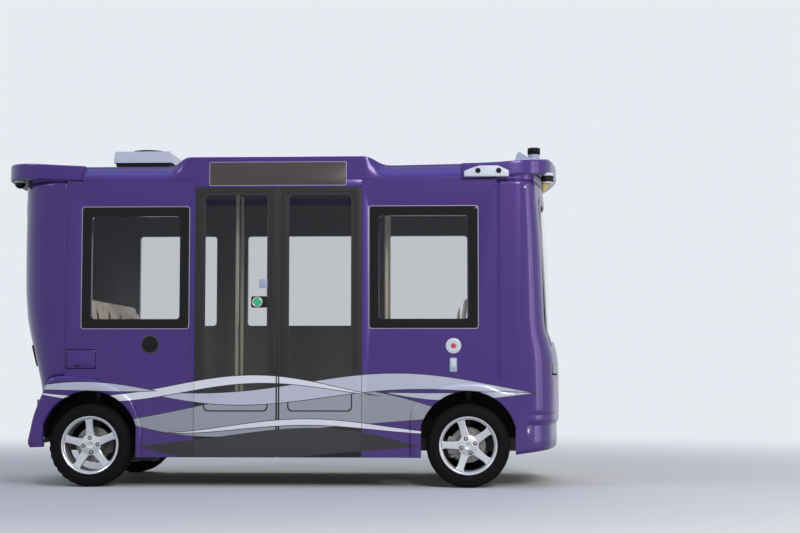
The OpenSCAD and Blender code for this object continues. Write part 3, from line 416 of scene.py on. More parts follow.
class Shape:
    """A workbench on which one piece is put together from simple operators."""

    def __init__(self) -> None:
        """Starts with nothing on the bench."""
        self.bm = bmesh.new()

    def _tag(self, verts: Iterable[bmesh.types.BMVert], finish: int) -> None:
        """Gives the faces of new points a finish's number."""
        for face in {f for v in verts for f in v.link_faces}:
            face.material_index = finish

    def _round(self, edges: list[bmesh.types.BMEdge], width: float, steps: int) -> None:
        """Bevels edges."""
        bmesh.ops.bevel(self.bm, geom=edges, offset=width, offset_type="OFFSET", segments=steps, profile=0.5,
                        affect="EDGES", material=-1, clamp_overlap=True)

    def block(self, low: Point, high: Point, bevel: float = 0.0, finish: int = 0, steps: int = 2) -> "Shape":
        """Adds a box between two corners.

        Args:
            low: Its lowest corner.
            high: Its highest corner.
            bevel: Width of its rounded edges.
            finish: Number of its finish.
            steps: Segments of the rounding.

        Returns:
            The bench, so that calls can be chained.
        """
        a, b = Vector(low), Vector(high)
        verts = bmesh.ops.create_cube(self.bm, size=1.0, matrix=Matrix.Translation((a + b) / 2)
                                      @ Matrix.Diagonal((*(b - a), 1.0)))["verts"]
        self._tag(verts, finish)
        if bevel:
            self._round(list(dict.fromkeys(e for v in verts for e in v.link_edges)), bevel, steps)
        return self

    def drum(self, start: Point, end: Point, radius: float, radius_end: float | None = None,
             sides: int = 32, bevel: float = 0.0, finish: int = 0) -> "Shape":
        """Adds a cylinder or cone between two points.

        Args:
            start: Middle of its first end.
            end: Middle of its other end.
            radius: Radius at its start.
            radius_end: Radius at its end, if another.
            sides: Segments round it.
            bevel: Width of the rounding at its ends.
            finish: Number of its finish.

        Returns:
            The bench.
        """
        a, b = Vector(start), Vector(end)
        turn = (b - a).to_track_quat("Z", "Y").to_matrix().to_4x4()
        verts = bmesh.ops.create_cone(self.bm, cap_ends=True, segments=sides, radius1=radius,
                                      radius2=radius if radius_end is None else radius_end,
                                      depth=(b - a).length,
                                      matrix=Matrix.Translation((a + b) / 2) @ turn)["verts"]
        self._tag(verts, finish)
        if bevel:
            caps = dict.fromkeys(f for v in verts for f in v.link_faces if len(f.verts) > 4)
            self._round(list(dict.fromkeys(e for f in caps for e in f.edges)), bevel, 2)
        return self

    def plate(self, outline: Sequence[Flat], low: float, high: float, axis: str = "y", bevel: float = 0.0,
              hole: Sequence[Flat] | None = None, finish: int = 0, steps: int = 2) -> "Shape":
        """Adds a flat shape of even thickness.

        Args:
            outline: Its outline, in the two directions other than the axis.
            low: Where it starts along the axis.
            high: Where it ends along the axis.
            axis: The direction of its thickness, "y" or "z".
            bevel: Width of the rounding of its edges on the outer face.
            hole: Outline of a hole with as many points, if it has one.
            finish: Number of its finish.
            steps: Segments of the rounding.

        Returns:
            The bench.
        """
        def at(p: Flat, d: float) -> Point:
            """Places a point of the outline."""
            return (p[0], d, p[1]) if axis == "y" else (p[0], p[1], d)

        verts = [self.bm.verts.new(at(p, low)) for p in outline]
        if hole is None:
            faces = [self.bm.faces.new(verts)]
        else:
            inner = [self.bm.verts.new(at(p, low)) for p in hole]
            edges = [self.bm.edges.new((loop[i - 1], loop[i])) for loop in (verts, inner) for i in range(len(loop))]
            faces = bmesh.ops.bridge_loops(self.bm, edges=edges)["faces"]
        shift = Vector(at((0.0, 0.0), high - low))
        made = bmesh.ops.extrude_face_region(self.bm, geom=faces, use_keep_orig=True)["geom"]
        moved = [g for g in made if isinstance(g, bmesh.types.BMVert)]
        bmesh.ops.translate(self.bm, verts=moved, vec=shift)
        skin = list(dict.fromkeys(f for v in self.bm.verts if v in moved or v in verts for f in v.link_faces))
        for f in skin:
            f.material_index = finish
        bmesh.ops.recalc_face_normals(self.bm, faces=skin)
        if bevel:
            rim = dict.fromkeys(e for v in moved for e in v.link_edges if all(w in moved for w in e.verts)
                                and len(e.link_faces) == 2 and e.calc_face_angle(0.0) > 0.8)
            self._round(list(rim), bevel, steps)
        return self

    def lathe(self, profile: Sequence[Flat], centre: Point, axis: Point, steps: int = 64, finish: int = 0,
              closed: bool = False) -> "Shape":
        """Spins a profile round an axis.

        Args:
            profile: Rows of radius and distance along the axis.
            centre: A point on the axis, where that distance is nought.
            axis: Direction of the axis, of length one.
            steps: Segments of a full turn.
            finish: Number of its finish.
            closed: Whether the last row joins the first.

        Returns:
            The bench.
        """
        along = Vector(axis)
        out = along.orthogonal().normalized()
        verts = [self.bm.verts.new(Vector(centre) + out * r + along * d) for r, d in profile]
        pairs = list(zip(verts, verts[1:])) + ([(verts[-1], verts[0])] if closed else [])
        edges = [self.bm.edges.new(p) for p in pairs]
        before = set(self.bm.faces)
        bmesh.ops.spin(self.bm, geom=verts + edges, cent=centre, axis=along, angle=2 * math.pi, steps=steps,
                       use_merge=True, use_duplicate=False)
        for f in set(self.bm.faces) - before:
            f.material_index = finish
        return self

    def surface(self, columns: int, rows: int, place: Callable[[float, float], Point], finish: int = 0) -> "Shape":
        """Lays a grid over a surface.

        Args:
            columns: Segments in the first direction.
            rows: Segments in the second direction.
            place: Gives the point for two shares from 0 to 1.
            finish: Number of its finish.

        Returns:
            The bench.
        """
        verts = bmesh.ops.create_grid(self.bm, x_segments=columns, y_segments=rows, size=0.5)["verts"]
        for v in verts:
            v.co = place(v.co.x + 0.5, v.co.y + 0.5)
        self._tag(verts, finish)
        return self

    def tube(self, path: Sequence[Point], radius: float, sides: int = 10, finish: int = 0) -> "Shape":
        """Adds a round bar along a path.

        Args:
            path: Its middle line.
            radius: Its radius.
            sides: Segments round it.
            finish: Number of its finish.

        Returns:
            The bench.
        """
        line = [Vector(p) for p in path]
        count = len(line) - 1

        def place(u: float, v: float) -> Point:
            """A point of the bar's skin."""
            i = min(round(u * count), count)
            ahead = (line[min(i + 1, count)] - line[max(i - 1, 0)]).normalized()
            side = (ahead.orthogonal() if abs(ahead.z) > 0.99 else Vector(UP).cross(ahead)).normalized()
            up = ahead.cross(side)
            a = 2 * math.pi * v
            return tuple(line[i] + radius * (math.cos(a) * side + math.sin(a) * up))

        return self.surface(count, sides, place, finish).weld().cap()

    def cap(self) -> "Shape":
        """Closes the open ends."""
        bmesh.ops.holes_fill(self.bm, edges=[e for e in self.bm.edges if e.is_boundary], sides=64)
        return self

    def weld(self, gap: float = 0.00005) -> "Shape":
        """Merges points that lie together."""
        bmesh.ops.remove_doubles(self.bm, verts=self.bm.verts[:], dist=gap)
        return self

    def mark(self, finish: int, test: Callable[[Vector, Vector], bool]) -> "Shape":
        """Gives a finish's number to the faces that a test picks by middle and normal."""
        for f in self.bm.faces:
            if test(f.calc_center_median(), f.normal):
                f.material_index = finish
        return self

    def turn(self, matrix: Matrix) -> "Shape":
        """Moves everything on the bench."""
        bmesh.ops.transform(self.bm, matrix=matrix, verts=self.bm.verts[:])
        return self

    def both_sides(self) -> "Shape":
        """Adds a copy on the bus's other side."""
        made = bmesh.ops.duplicate(self.bm, geom=self.bm.verts[:] + self.bm.edges[:] + self.bm.faces[:])["geom"]
        verts = [g for g in made if isinstance(g, bmesh.types.BMVert)]
        bmesh.ops.scale(self.bm, vec=(1, -1, 1), verts=verts)
        bmesh.ops.reverse_faces(self.bm, faces=[g for g in made if isinstance(g, bmesh.types.BMFace)])
        return self

    def piece(self, name: str, finishes: Finish | Sequence[Finish], body: str = "body", *, recalc: bool = True,
              smooth: float = 35.0, bevel: float = 0.0, thick: float = 0.0,
              stands_for: Sequence[str] = ()) -> bpy.types.Object:
        """Takes the finished piece off the bench.

        Args:
            name: Its name.
            finishes: Its finishes, in the order of their numbers.
            body: The body that it rides on.
            recalc: Whether its normals are worked out again.
            smooth: Angle in degrees above which an edge stays sharp.
            bevel: Width of a rounding of its sharp edges.
            thick: Thickness that a skin gets inwards.
            stands_for: The CAD nodes that it replaces.

        Returns:
            The piece's object.
        """
        several = [finishes] if isinstance(finishes, Finish) else list(finishes)
        if recalc:
            bmesh.ops.recalc_face_normals(self.bm, faces=self.bm.faces[:])
        mesh = bpy.data.meshes.new(name)
        self.bm.to_mesh(mesh)
        self.bm.free()
        mesh.shade_smooth()
        mesh.set_sharp_from_angle(angle=math.radians(smooth))
        obj = show(name, mesh)
        for f in several:
            mesh.materials.append(f.material())
        if thick:
            wall = obj.modifiers.new("wall", "SOLIDIFY")
            wall.thickness, wall.offset = thick, -1.0
            wall.use_even_offset = True
            if len(several) > 1:
                wall.material_offset = len(several) - 1
        if bevel:
            edge = obj.modifiers.new("edge", "BEVEL")
            edge.width, edge.segments, edge.limit_method = bevel, 2, "ANGLE"
            edge.angle_limit = math.radians(40)
            edge.harden_normals = True
        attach(obj, body)
        if stands_for:
            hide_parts(*stands_for)
        LOG.info("piece %s: %d faces", name, len(mesh.polygons))
        return obj


def copy_of(node: str) -> Shape:
    """Puts a merged copy of a CAD node on a new bench, its flat parts dissolved into whole faces."""
    bench = Shape()
    bench.bm.from_mesh(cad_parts[node].data)
    bench.weld(0.00002)
    bmesh.ops.dissolve_limit(bench.bm, angle_limit=math.radians(0.6), verts=bench.bm.verts[:],
                             edges=bench.bm.edges[:])
    return bench


def dress(node: str, finishes: Finish | Sequence[Finish], body: str = "body", bevel: float = 0.0015,
          rule: Callable[[Vector, Vector], bool] | None = None) -> bpy.types.Object:
    """Dresses a copy of a CAD node with rounded edges and up to two finishes.

    Args:
        node: The CAD node.
        finishes: Its finishes; the second goes where the rule says.
        body: The body that it rides on.
        bevel: Width of the rounding of its edges.
        rule: Picks the faces of the second finish by middle and normal.

    Returns:
        The dressed piece.
    """
    bench = copy_of(node)
    if rule:
        bench.mark(1, rule)
    return bench.piece(f"{node}_dressed", finishes, body, recalc=False, bevel=bevel, stands_for=[node])


@dataclass
class Studio:
    """Floor, backdrop, soft light and the camera at the photograph's angle."""

    eye: Point = (1.319, -11.82, 0.836)
    yaw: float = math.radians(2.22)
    pitch: float = math.radians(3.86)
    lens: float = 68.985
    sky: Point = (0.78, 0.87, 1.0)
    sky_strength: float = 0.34
    floor_colour: Point = (0.56, 0.56, 0.55)
    floor_half: float = 60.0
    backdrop: Point = (0.80, 0.83, 0.88)
    fade: Flat = (3.0, 9.0)

    def build(self) -> None:
        """Makes the stage."""
        self._camera()
        self._world()
        self._floor()
        self._lamps()
        bpy.context.scene.view_settings.view_transform = "Standard"

    def _camera(self) -> None:
        """Places the camera."""
        data = bpy.data.cameras.new("camera")
        data.lens, data.sensor_width = self.lens, 36.0
        camera = show("camera", data)
        camera.location = self.eye
        camera.rotation_euler = (math.pi / 2 + self.pitch, 0.0, self.yaw)
        bpy.context.scene.camera = camera

    def _world(self) -> None:
        """Makes an even sky that is pale to the camera."""
        world = bpy.data.worlds.new("sky")
        bpy.context.scene.world = world
        world.use_nodes = True
        wires, nodes = Wiring(world.node_tree), world.node_tree.nodes
        wires.feed(nodes["Background"], {"Color": (*self.sky, 1.0), "Strength": self.sky_strength})
        shown = wires.add("Background", "Background", {"Color": (*self.backdrop, 1.0)})
        mixed = wires.shade(self._seen(wires), nodes["Background"].outputs["Background"], shown)
        wires.feed(nodes["World Output"], {"Surface": mixed})

    def _seen(self, wires: Wiring) -> bpy.types.NodeSocket:
        """The share of rays that show the backdrop: the camera's, and those that glass and metal send on."""
        found = wires.add("LightPath", "Is Camera Ray")
        path = found.node
        for key in ("Is Glossy Ray", "Is Transmission Ray"):
            found = wires.math("MAXIMUM", found, path.outputs[key])
        return found

    def _floor(self) -> None:
        """Lays the pale floor, which takes the backdrop's colour far away."""
        mesh = bpy.data.meshes.new("studio_floor")
        bench = bmesh.new()
        bmesh.ops.create_grid(bench, x_segments=1, y_segments=1, size=self.floor_half)
        bench.to_mesh(mesh)
        bench.free()
        mat = bpy.data.materials.new("studio_floor")
        mat.use_nodes = True
        wires, nodes = Wiring(mat.node_tree), mat.node_tree.nodes
        place = wires.add("TexCoord", "Object")
        noise = wires.add("TexNoise", "Fac", {"Scale": 3.0, "Vector": place})
        shades = ((*(c * share for c in self.floor_colour), 1.0) for share in (0.98, 1.0))
        wires.feed(nodes["Principled BSDF"], {"Roughness": 0.9, "Base Color": wires.mix(noise, *shades)})
        away = wires.add("VectorMath", "Value", {0: place}, operation="LENGTH")
        far = wires.add("MapRange", "Result", {"From Min": self.fade[0], "From Max": self.fade[1], "Value": away},
                        interpolation_type="SMOOTHSTEP")
        glow = wires.add("Emission", "Emission", {"Color": (*self.backdrop, 1.0)})
        mixed = wires.shade(wires.math("MULTIPLY", far, self._seen(wires)),
                            nodes["Principled BSDF"].outputs["BSDF"], glow)
        wires.feed(nodes["Material Output"], {"Surface": mixed})
        mesh.materials.append(mat)
        show("studio_floor", mesh)

    def _lamps(self) -> None:
        """Hangs the soft lamps, each with its place, aim, size, power and tint."""
        for name, place, aim, size, power, tint in (
                ("key", (5.0, -9.5, 6.5), (0.2, 0.0, 1.0), (4.0, 4.0), 800.0, (1.0, 0.94, 0.86)),
                ("strip", (9.2, -4.1, 2.2), (1.8, -0.6, 1.2), (0.8, 4.0), 45.0, (1.0, 0.93, 0.93)),
                ("fill", (-9.0, -6.0, 8.0), (-1.6, 0.0, 1.2), (3.0, 3.0), 210.0, (0.92, 0.94, 1.0)),
                ("top", (0.0, -2.0, 8.5), (0.0, 0.0, 1.5), (9.0, 5.0), 220.0, (0.22, 0.38, 1.0)),
                ("front", (9.0, -2.5, 2.2), (1.9, 0.0, 1.0), (2.4, 4.0), 70.0, (1.0, 0.84, 0.88)),
                ("back", (1.0, 8.0, 9.0), (0.0, 0.0, 1.2), (7.0, 4.0), 420.0, (1.0, 0.98, 0.95))):
            data = bpy.data.lights.new(name, "AREA")
            data.shape, data.size, data.size_y = "RECTANGLE", size[0], size[1]
            data.energy, data.color = power, tint
            lamp = show(name, data)
            lamp.location = place
            lamp.rotation_euler = (Vector(aim) - Vector(place)).to_track_quat("-Z", "Y").to_euler()


@dataclass
class Wheel:
    """One wheel: tyre, alloy rim with five spokes, bolts, cap and vented brake disc."""

    name: str
    x: float
    side: Side
    lean: float
    spokes: int = 5
    bolts: int = 4
    bolt_r: float = 0.052
    tyre_r: float = 0.2975
    half_w: float = 0.0975
    rim_r: float = 0.208
    bead: float = 0.0837
    steps: int = 96
    tooth: int = 3
    sink: float = 0.006

    @property
    def centre(self) -> Point:
        """Middle of the wheel."""
        return (self.x, self.side.value * WHEEL_Y, WHEEL_Z)

    def _out(self, bench: Shape) -> Shape:
        """Turns what was built along +Z at the origin outwards and puts it in place."""
        turn = Matrix.Rotation(math.radians(-90.0), 4, "X")
        if self.side is Side.RIGHT:
            turn = Matrix.Rotation(math.pi, 4, "Z") @ turn
        return bench.turn(Matrix.Translation(self.centre) @ turn)

    def build(self) -> None:
        """Builds and dresses the whole wheel."""
        body = f"wheel_{self.name}"
        self._tyre(body)
        self._rim(body)
        self._disc(body)

    def _tyre(self, body: str) -> None:
        """Makes the tyre with its ribs and shoulder blocks."""
        r, w = self.tyre_r, self.half_w
        profile = [(self.rim_r - 0.012, w - 0.018), (self.rim_r + 0.001, w - 0.0125), (self.rim_r + 0.004, w - 0.006),
                   (self.rim_r + 0.010, w - 0.0035), (self.rim_r + 0.014, w - 0.0045), (self.rim_r + 0.020, w - 0.0022),
                   (self.rim_r + 0.034, w - 0.0004), (self.rim_r + 0.036, w - 0.0002), (self.rim_r + 0.038, w - 0.0012),
                   (self.rim_r + 0.052, w - 0.0022), (r - 0.026, w - 0.0055), (r - 0.024, w - 0.0062),
                   (r - 0.0225, w - 0.0052), (r - 0.012, w - 0.0125), (r - 0.004, w - 0.026)]
        tread = [(r, w - 0.034)]
        for groove in (0.046, 0.016):
            tread += [(r, groove + 0.005), (r - 0.007, groove + 0.004), (r - 0.007, groove - 0.004),
                      (r, groove - 0.005)]
        half = profile + tread
        bench = Shape().lathe(half + [(a, -b) for a, b in reversed(half)], ORIGIN, UP, self.steps)
        bench.weld()
        self._blocks(bench)
        self._out(bench).piece(f"tyre_{self.name}_tread", INK.rubber, body, smooth=28.0,
                               stands_for=[f"tyre_{self.name}"])

    def _blocks(self, bench: Shape) -> None:
        """Sinks the cross grooves between the shoulder blocks."""
        step = 2 * math.pi / self.steps
        for v in bench.bm.verts:
            radius = math.hypot(v.co.x, v.co.y)
            if radius > self.tyre_r - 0.006 and abs(v.co.z) > 0.05:
                k = round(math.atan2(v.co.y, v.co.x) / step)
                if k % self.tooth == 0:
                    scale = (radius - self.sink) / radius
                    v.co.x *= scale
                    v.co.y *= scale

    def _rim(self, body: str) -> None:
        """Makes the rim: barrel, lip, spokes, hub, cap and bolts; the barrel's inner faces take a darker finish that is
        partly painted shade, and dark discs round the bolts are painted shade of their holes.
        """
        r, f = self.rim_r, self.bead
        barrel = [(r, f), (r, f + 0.0045), (r - 0.0015, f + 0.006), (r - 0.007, f + 0.006), (r - 0.012, f + 0.003),
                  (r - 0.016, f - 0.006), (r - 0.0225, f - 0.012), (r - 0.024, f - 0.030), (r - 0.026, 0.0),
                  (r - 0.026, -f - 0.004), (r - 0.0245, -f - 0.006), (r - 0.001, -f - 0.006), (r, -f - 0.005), (r, -f),
                  (r - 0.0165, -f + 0.002), (r - 0.019, -0.02), (r - 0.019, 0.02), (r - 0.0165, f - 0.002)]
        bench = Shape().lathe(barrel, ORIGIN, UP, self.steps, closed=True)
        # The barrel's inner faces get the darker barrel finish: a duller cast surface plus painted shade of the pocket
        # behind the spokes.
        bench.mark(1, lambda c, n: math.hypot(c.x, c.y) < r - 0.0235 or c.z < f - 0.02)
        for i in range(self.spokes):
            self._spoke(bench, math.radians(self.lean - 90 + i * 360 / self.spokes))
        bench.drum((0, 0, 0.030), (0, 0, 0.0680), 0.076, 0.0745, 48, 0.004)
        bench.lathe([(0.0280, 0.0670), (0.0280, 0.0688), (0.0265, 0.0700), (0.0240, 0.0698), (0.0225, 0.0690),
                     (0.0, 0.0694)], ORIGIN, UP, 40)
        for i in range(self.bolts):
            a = math.radians(self.lean + 2 + i * 360 / self.bolts)
            spot = Vector((self.bolt_r * math.cos(a), self.bolt_r * math.sin(a), 0.0))
            # A dark disc round each bolt is painted shade of its lug hole.
            bench.drum(spot + Vector((0, 0, 0.060)), spot + Vector((0, 0, 0.0684)), 0.0150, sides=24, finish=2)
            bench.drum(spot + Vector((0, 0, 0.060)), spot + Vector((0, 0, 0.0715)), 0.0092, 0.0086, 6, 0.001, 3)
        self._out(bench).piece(f"rim_{self.name}_alloy", [INK.alloy, INK.barrel, INK.dark, INK.steel], body,
                               smooth=30.0, stands_for=[f"rim_{self.name}"])

    def _spoke(self, bench: Shape, angle: float) -> None:
        """Adds one spoke, crowned, waisted and flared where it meets the barrel."""
        widths = ((0.030, 0.0310), (0.075, 0.0300), (0.110, 0.0262), (0.150, 0.0250), (0.172, 0.0268), (0.187, 0.0330))
        face = ((0.030, 0.0660), (0.070, 0.0676), (0.120, 0.0702), (0.160, 0.0735), (0.187, 0.0760))
        out = Vector((math.cos(angle), math.sin(angle), 0.0))
        across = Vector((-out.y, out.x, 0.0))
        section = ((-1.0, -0.030), (-1.0, -0.006), (-0.96, -0.0015), (-0.88, 0.0), (0.0, 0.0004), (0.88, 0.0),
                   (0.96, -0.0015), (1.0, -0.006), (1.0, -0.030))

        def place(u: float, v: float) -> Point:
            """A point of the spoke's skin."""
            far = 0.030 + u * 0.157
            i = min(round(v * (len(section) - 1)), len(section) - 1)
            side, drop = section[i]
            return tuple(out * far + across * (side * curve(widths, far)) + Vector((0, 0, curve(face, far) + drop)))

        bench.surface(14, len(section) - 1, place)

    def _disc(self, body: str) -> None:
        """Makes the brake disc with its hat and ring, and thin dark discs as painted shade where the drilled holes are.
        """
        bench = Shape()
        ringed = [(0.0262, -0.0105), (0.0262, 0.0275), (0.0335, 0.0275), (0.0335, 0.0280), (0.066, 0.0280),
                  (0.069, 0.025), (0.069, -0.036), (0.078, -0.0365), (0.126, -0.0365), (0.1275, -0.038),
                  (0.1275, -0.0430), (0.120, -0.0440), (0.120, -0.0480), (0.1275, -0.0490), (0.1275, -0.0555),
                  (0.126, -0.0565), (0.060, -0.0565), (0.060, -0.0105)]
        bench.lathe(ringed, ORIGIN, UP, 72, closed=True)
        # Each drilled hole is a thin dark disc on the ring's face: painted shade, not an opening.
        for i in range(24):
            a = 2 * math.pi * i / 24
            far = 0.092 if i % 2 else 0.112
            spot = (far * math.cos(a), far * math.sin(a))
            bench.drum((*spot, -0.0372), (*spot, -0.0362), 0.0035, sides=10, finish=1)
        self._out(bench).piece(f"disc_{self.name}_vented", [INK.iron, INK.dark], body,
                               stands_for=[f"disc_{self.name}"])


@dataclass(frozen=True)
class EndWall:
    """Plan and profile of one end of the bus, on which its panels are laid."""

    profile: Table
    reach: float
    seam_x: float
    corner_r: float
    ahead: int
    low_seam: Flat = (0.0, 0.0)
    bow: float = 3.0
    lead: float = 0.010

    def _plan(self, z: float) -> tuple[float, float, float, float]:
        """Reach, start of the corner, corner radius and half angle of the bow at a height."""
        reach = self.reach - curve(self.profile, z)
        drop = self.bow - math.sqrt((self.bow - self.corner_r) ** 2 - (HALF_W - self.corner_r) ** 2)
        start = max(reach - drop, self.seam_x + self.lead, self.low_seam[0] + 0.0008)
        r = (self.bow**2 - HALF_W**2 - (self.bow - reach + start) ** 2) / (2 * (self.bow - HALF_W))
        return reach, start, r, math.asin((HALF_W - r) / (self.bow - r))

    def at(self, u: float, z: float, inset: float = 0.0) -> Point:
        """A point of the wall.

        Args:
            u: Place round the end, from 0 at the right seam to 1 at the left one.
            z: Height.
            inset: Distance in from the outer face.

        Returns:
            The point.
        """
        reach, start, r, a = self._plan(z)
        q = 1 - abs(2 * u - 1)
        seam_x = self.low_seam[0] if z < self.low_seam[1] else self.seam_x
        if q < 1 / 12:
            x, y = seam_x + (start - seam_x) * q * 12, HALF_W - inset
        elif q < 7 / 12:
            turn = math.pi / 2 + (a - math.pi / 2) * (q - 1 / 12) * 2
            x, y = start + (r - inset) * math.cos(turn), HALF_W - r + (r - inset) * math.sin(turn)
        else:
            turn = a * (1 - q) * 2.4
            x, y = reach - self.bow + (self.bow - inset) * math.cos(turn), (self.bow - inset) * math.sin(turn)
        return (self.ahead * x, math.copysign(y, u - 0.5), z)

    def facing(self, y: float, z: float, proud: float = 0.0) -> Point:
        """The point of the wall at a distance from the centreline, moved out by a little."""
        reach, start, r, a = self._plan(z)
        if abs(y) <= self.bow * math.sin(a):
            x = reach - self.bow + math.sqrt(self.bow**2 - y * y)
        else:
            x = start + math.sqrt(max(r * r - (abs(y) - HALF_W + r) ** 2, 0.0))
        return (self.ahead * (x + proud), y, z)

    def beside(self, x: float, z: float, proud: float = 0.0) -> Point:
        """The point of the right side's corner at a lengthwise place, moved out by a little."""
        _, start, r, _ = self._plan(z)
        turn = math.acos(min(max((x - start) / r, 0.0), 1.0))
        out = r + proud
        return (self.ahead * (start + out * math.cos(turn) if x > start else x), r - HALF_W - out * math.sin(turn), z)


def table(*rows: Flat) -> Table:
    """A table given in millimetres, in metres."""
    return tuple((a / 1000, b / 1000) for a, b in rows)


FRONT = EndWall(table((235, 40), (262, 27), (285, 20), (322, 17), (468, 2), (650, 0), (909, 6), (1020, 27), (1131, 56),
                      (1352, 69), (1724, 83), (2096, 105), (2240, 118)), 2.072, 1.590, 0.290, 1, (1.716, 0.760))
REAR = EndWall(table((560, 146), (724, 132), (1022, 59), (1172, 26), (1434, 1), (2240, 0)), 1.945, 1.520, 0.330, -1)
TAIL = EndWall(table((270, 118), (330, 100), (520, 95), (640, 104), (700, 120)), 1.945, 1.520, 0.200, -1)


@dataclass(frozen=True)
class EndPanel:
    """A painted panel laid over an end wall."""

    name: str
    nodes: tuple[str, ...]
    wall: EndWall
    low: Callable[[float], float]
    top: float
    fall: float
    holes: tuple["Screen", ...] = ()
    band: Table = ()
    half_w: float = 1.0
    columns: int = 96
    seam_z: float = 0.760

    def build(self) -> None:
        """Lays the panel, cuts its openings and gives it its thickness."""
        base = min(self.low(x) for x in (1.716, 2.1))
        rows = self._rows(base)

        def place(u: float, v: float) -> Point:
            """A point of the panel."""
            z, depth = rows[round(v * (len(rows) - 1))]
            lift = (self.low(abs(self.wall.at(u, base)[0])) - base) * max(0.0, 1 - (z - base) / self.fall)
            return self.wall.at(u, z + lift, depth * ease(1 - abs(2 * u - 1), 0.18, 0.23))

        bench = Shape().surface(self.columns, len(rows) - 1, place)
        gone = [f for f in bench.bm.faces if any(h.covers(f.calc_center_median(), self.wall.ahead) for h in self.holes)
                or abs(f.calc_center_median().y) > self.half_w]
        bmesh.ops.delete(bench.bm, geom=gone, context="FACES")
        bmesh.ops.recalc_face_normals(bench.bm, faces=bench.bm.faces[:])
        piece = bench.piece(self.name, [INK.paint, INK.lining], recalc=False, thick=0.012, stands_for=self.nodes)
        if sum(f.normal.x * f.area for f in piece.data.polygons) * self.wall.ahead < 0:
            piece.data.flip_normals()

    def _rows(self, base: float) -> list[Flat]:
        """Heights and depths of the rows, closer together round a sunk band and the seam's step."""
        count = round((self.top - base) / 0.035)
        rows = [(base + (self.top - base) * k / count, 0.0) for k in range(count + 1)]
        if self.band:
            rows = [r for r in rows if not self.band[-1][0] - 0.012 < r[0] < self.band[0][0] + 0.012]
            rows += [*self.band, (self.seam_z - 0.0002, 0.0), (self.seam_z + 0.0001, 0.0)]
        return sorted(rows)


@dataclass
class BodyShell:
    """Painted walls: side panels, end shells and bumpers, with the charge flap."""

    top: float = 2.2026
    bumper_top: float = 0.6196
    bumper_half: float = 0.70
    band: Table = ((0.526, 0.0), (0.519, 0.0022), (0.511, 0.0028), (0.504, 0.0), (0.474, 0.0), (0.466, 0.0012),
                   (0.460, 0.0050), (0.454, 0.0110), (0.447, 0.0150), (0.438, 0.0145), (0.420, 0.0125),
                   (0.400, 0.0095), (0.380, 0.0070), (0.360, 0.0052), (0.345, 0.0040), (0.337, 0.0012), (0.330, 0.0))
    rear_low: Table = table((1520, 797.5), (1601, 782), (1640, 752), (1662, 707), (1682, 655), (1700, 620), (2100, 620))
    flap_x: float = -1.4025
    flap_top: float = 0.980
    flap_w: float = 0.207
    flap_h: float = 0.132

    def build(self) -> None:
        """Builds and dresses the painted walls."""
        for node in ("panel_rear_right", "panel_front_right", "panel_left"):
            dress(node, [INK.paint, INK.lining], bevel=0.0004, rule=lambda c, n: abs(c.y) < 0.8265)
        for panel in (
                EndPanel("front_skin", ("front_shell", "front_bumper"), FRONT, self._front_edge, self.top, 0.15,
                         (FRONT_SCREEN, *FRONT_LAMPS), self.band),
                EndPanel("rear_skin", ("rear_shell",), REAR, self._rear_edge, self.top, 0.90,
                         (REAR_SCREEN, *REAR_LAMPS)),
                EndPanel("rear_bumper_skin", ("rear_bumper",), TAIL, lambda x: 0.285, self.bumper_top, 1.0,
                         half_w=self.bumper_half)):
            panel.build()
        self._seams()
        self._flap()

    def _front_edge(self, x: float) -> float:
        """Height of the front bumper's lower edge, which rises forward."""
        return 0.236 + 0.048 * (x - 1.716) / 0.356

    def _rear_edge(self, x: float) -> float:
        """Height of the rear shell's lower edge, which follows the fender."""
        rows = self.rear_low
        i = max(k for k in range(len(rows) - 1) if rows[k][0] <= max(x, rows[0][0]))
        t = (max(x, rows[0][0]) - rows[i][0]) / (rows[i + 1][0] - rows[i][0])
        return rows[i][1] + t * (rows[i + 1][1] - rows[i][1])

    def _seams(self) -> None:
        """Draws the fine dark seams at the rear shell and on the front corner."""
        bench = Shape()
        bench.tube([(-REAR.seam_x, -HALF_W, z) for z in (0.800, 2.200)], 0.0014, 8)
        bench.tube([FRONT.beside(1.762, 1.150 + 0.052 * k) for k in range(21)], 0.0012, 8)
        bench.both_sides().piece("shell_seams", INK.seam)

    def _flap(self) -> None:
        """Makes the charge flap with its hinge rod and a dark plate as painted shade of the finger slot, and dresses
        the socket.
        """
        x, top, h, w = self.flap_x, self.flap_top, self.flap_h, self.flap_w
        reach = w / 2 + 0.014
        bench = Shape().plate(round_rect(x, top - h / 2, w, h, 0.018, 6), -0.8642, -0.8698, "y", 0.0012)
        bench.drum((x - reach, -0.864, top - 0.006), (x + reach, -0.864, top - 0.006), 0.003, sides=16, finish=1)
        # The finger slot is a thin dark plate on the lid: painted shade of a recess, not a cut.
        bench.plate(round_rect(x - 0.030, top - h + 0.018, 0.046, 0.012, 0.006, 4), -0.8690, -0.8702, finish=2)
        bench.piece("charge_flap_lid", [INK.paint, INK.steel, INK.dark], "flap", stands_for=["charge_flap"])
        dress("charge_inlet", [INK.dark], bevel=0.001)


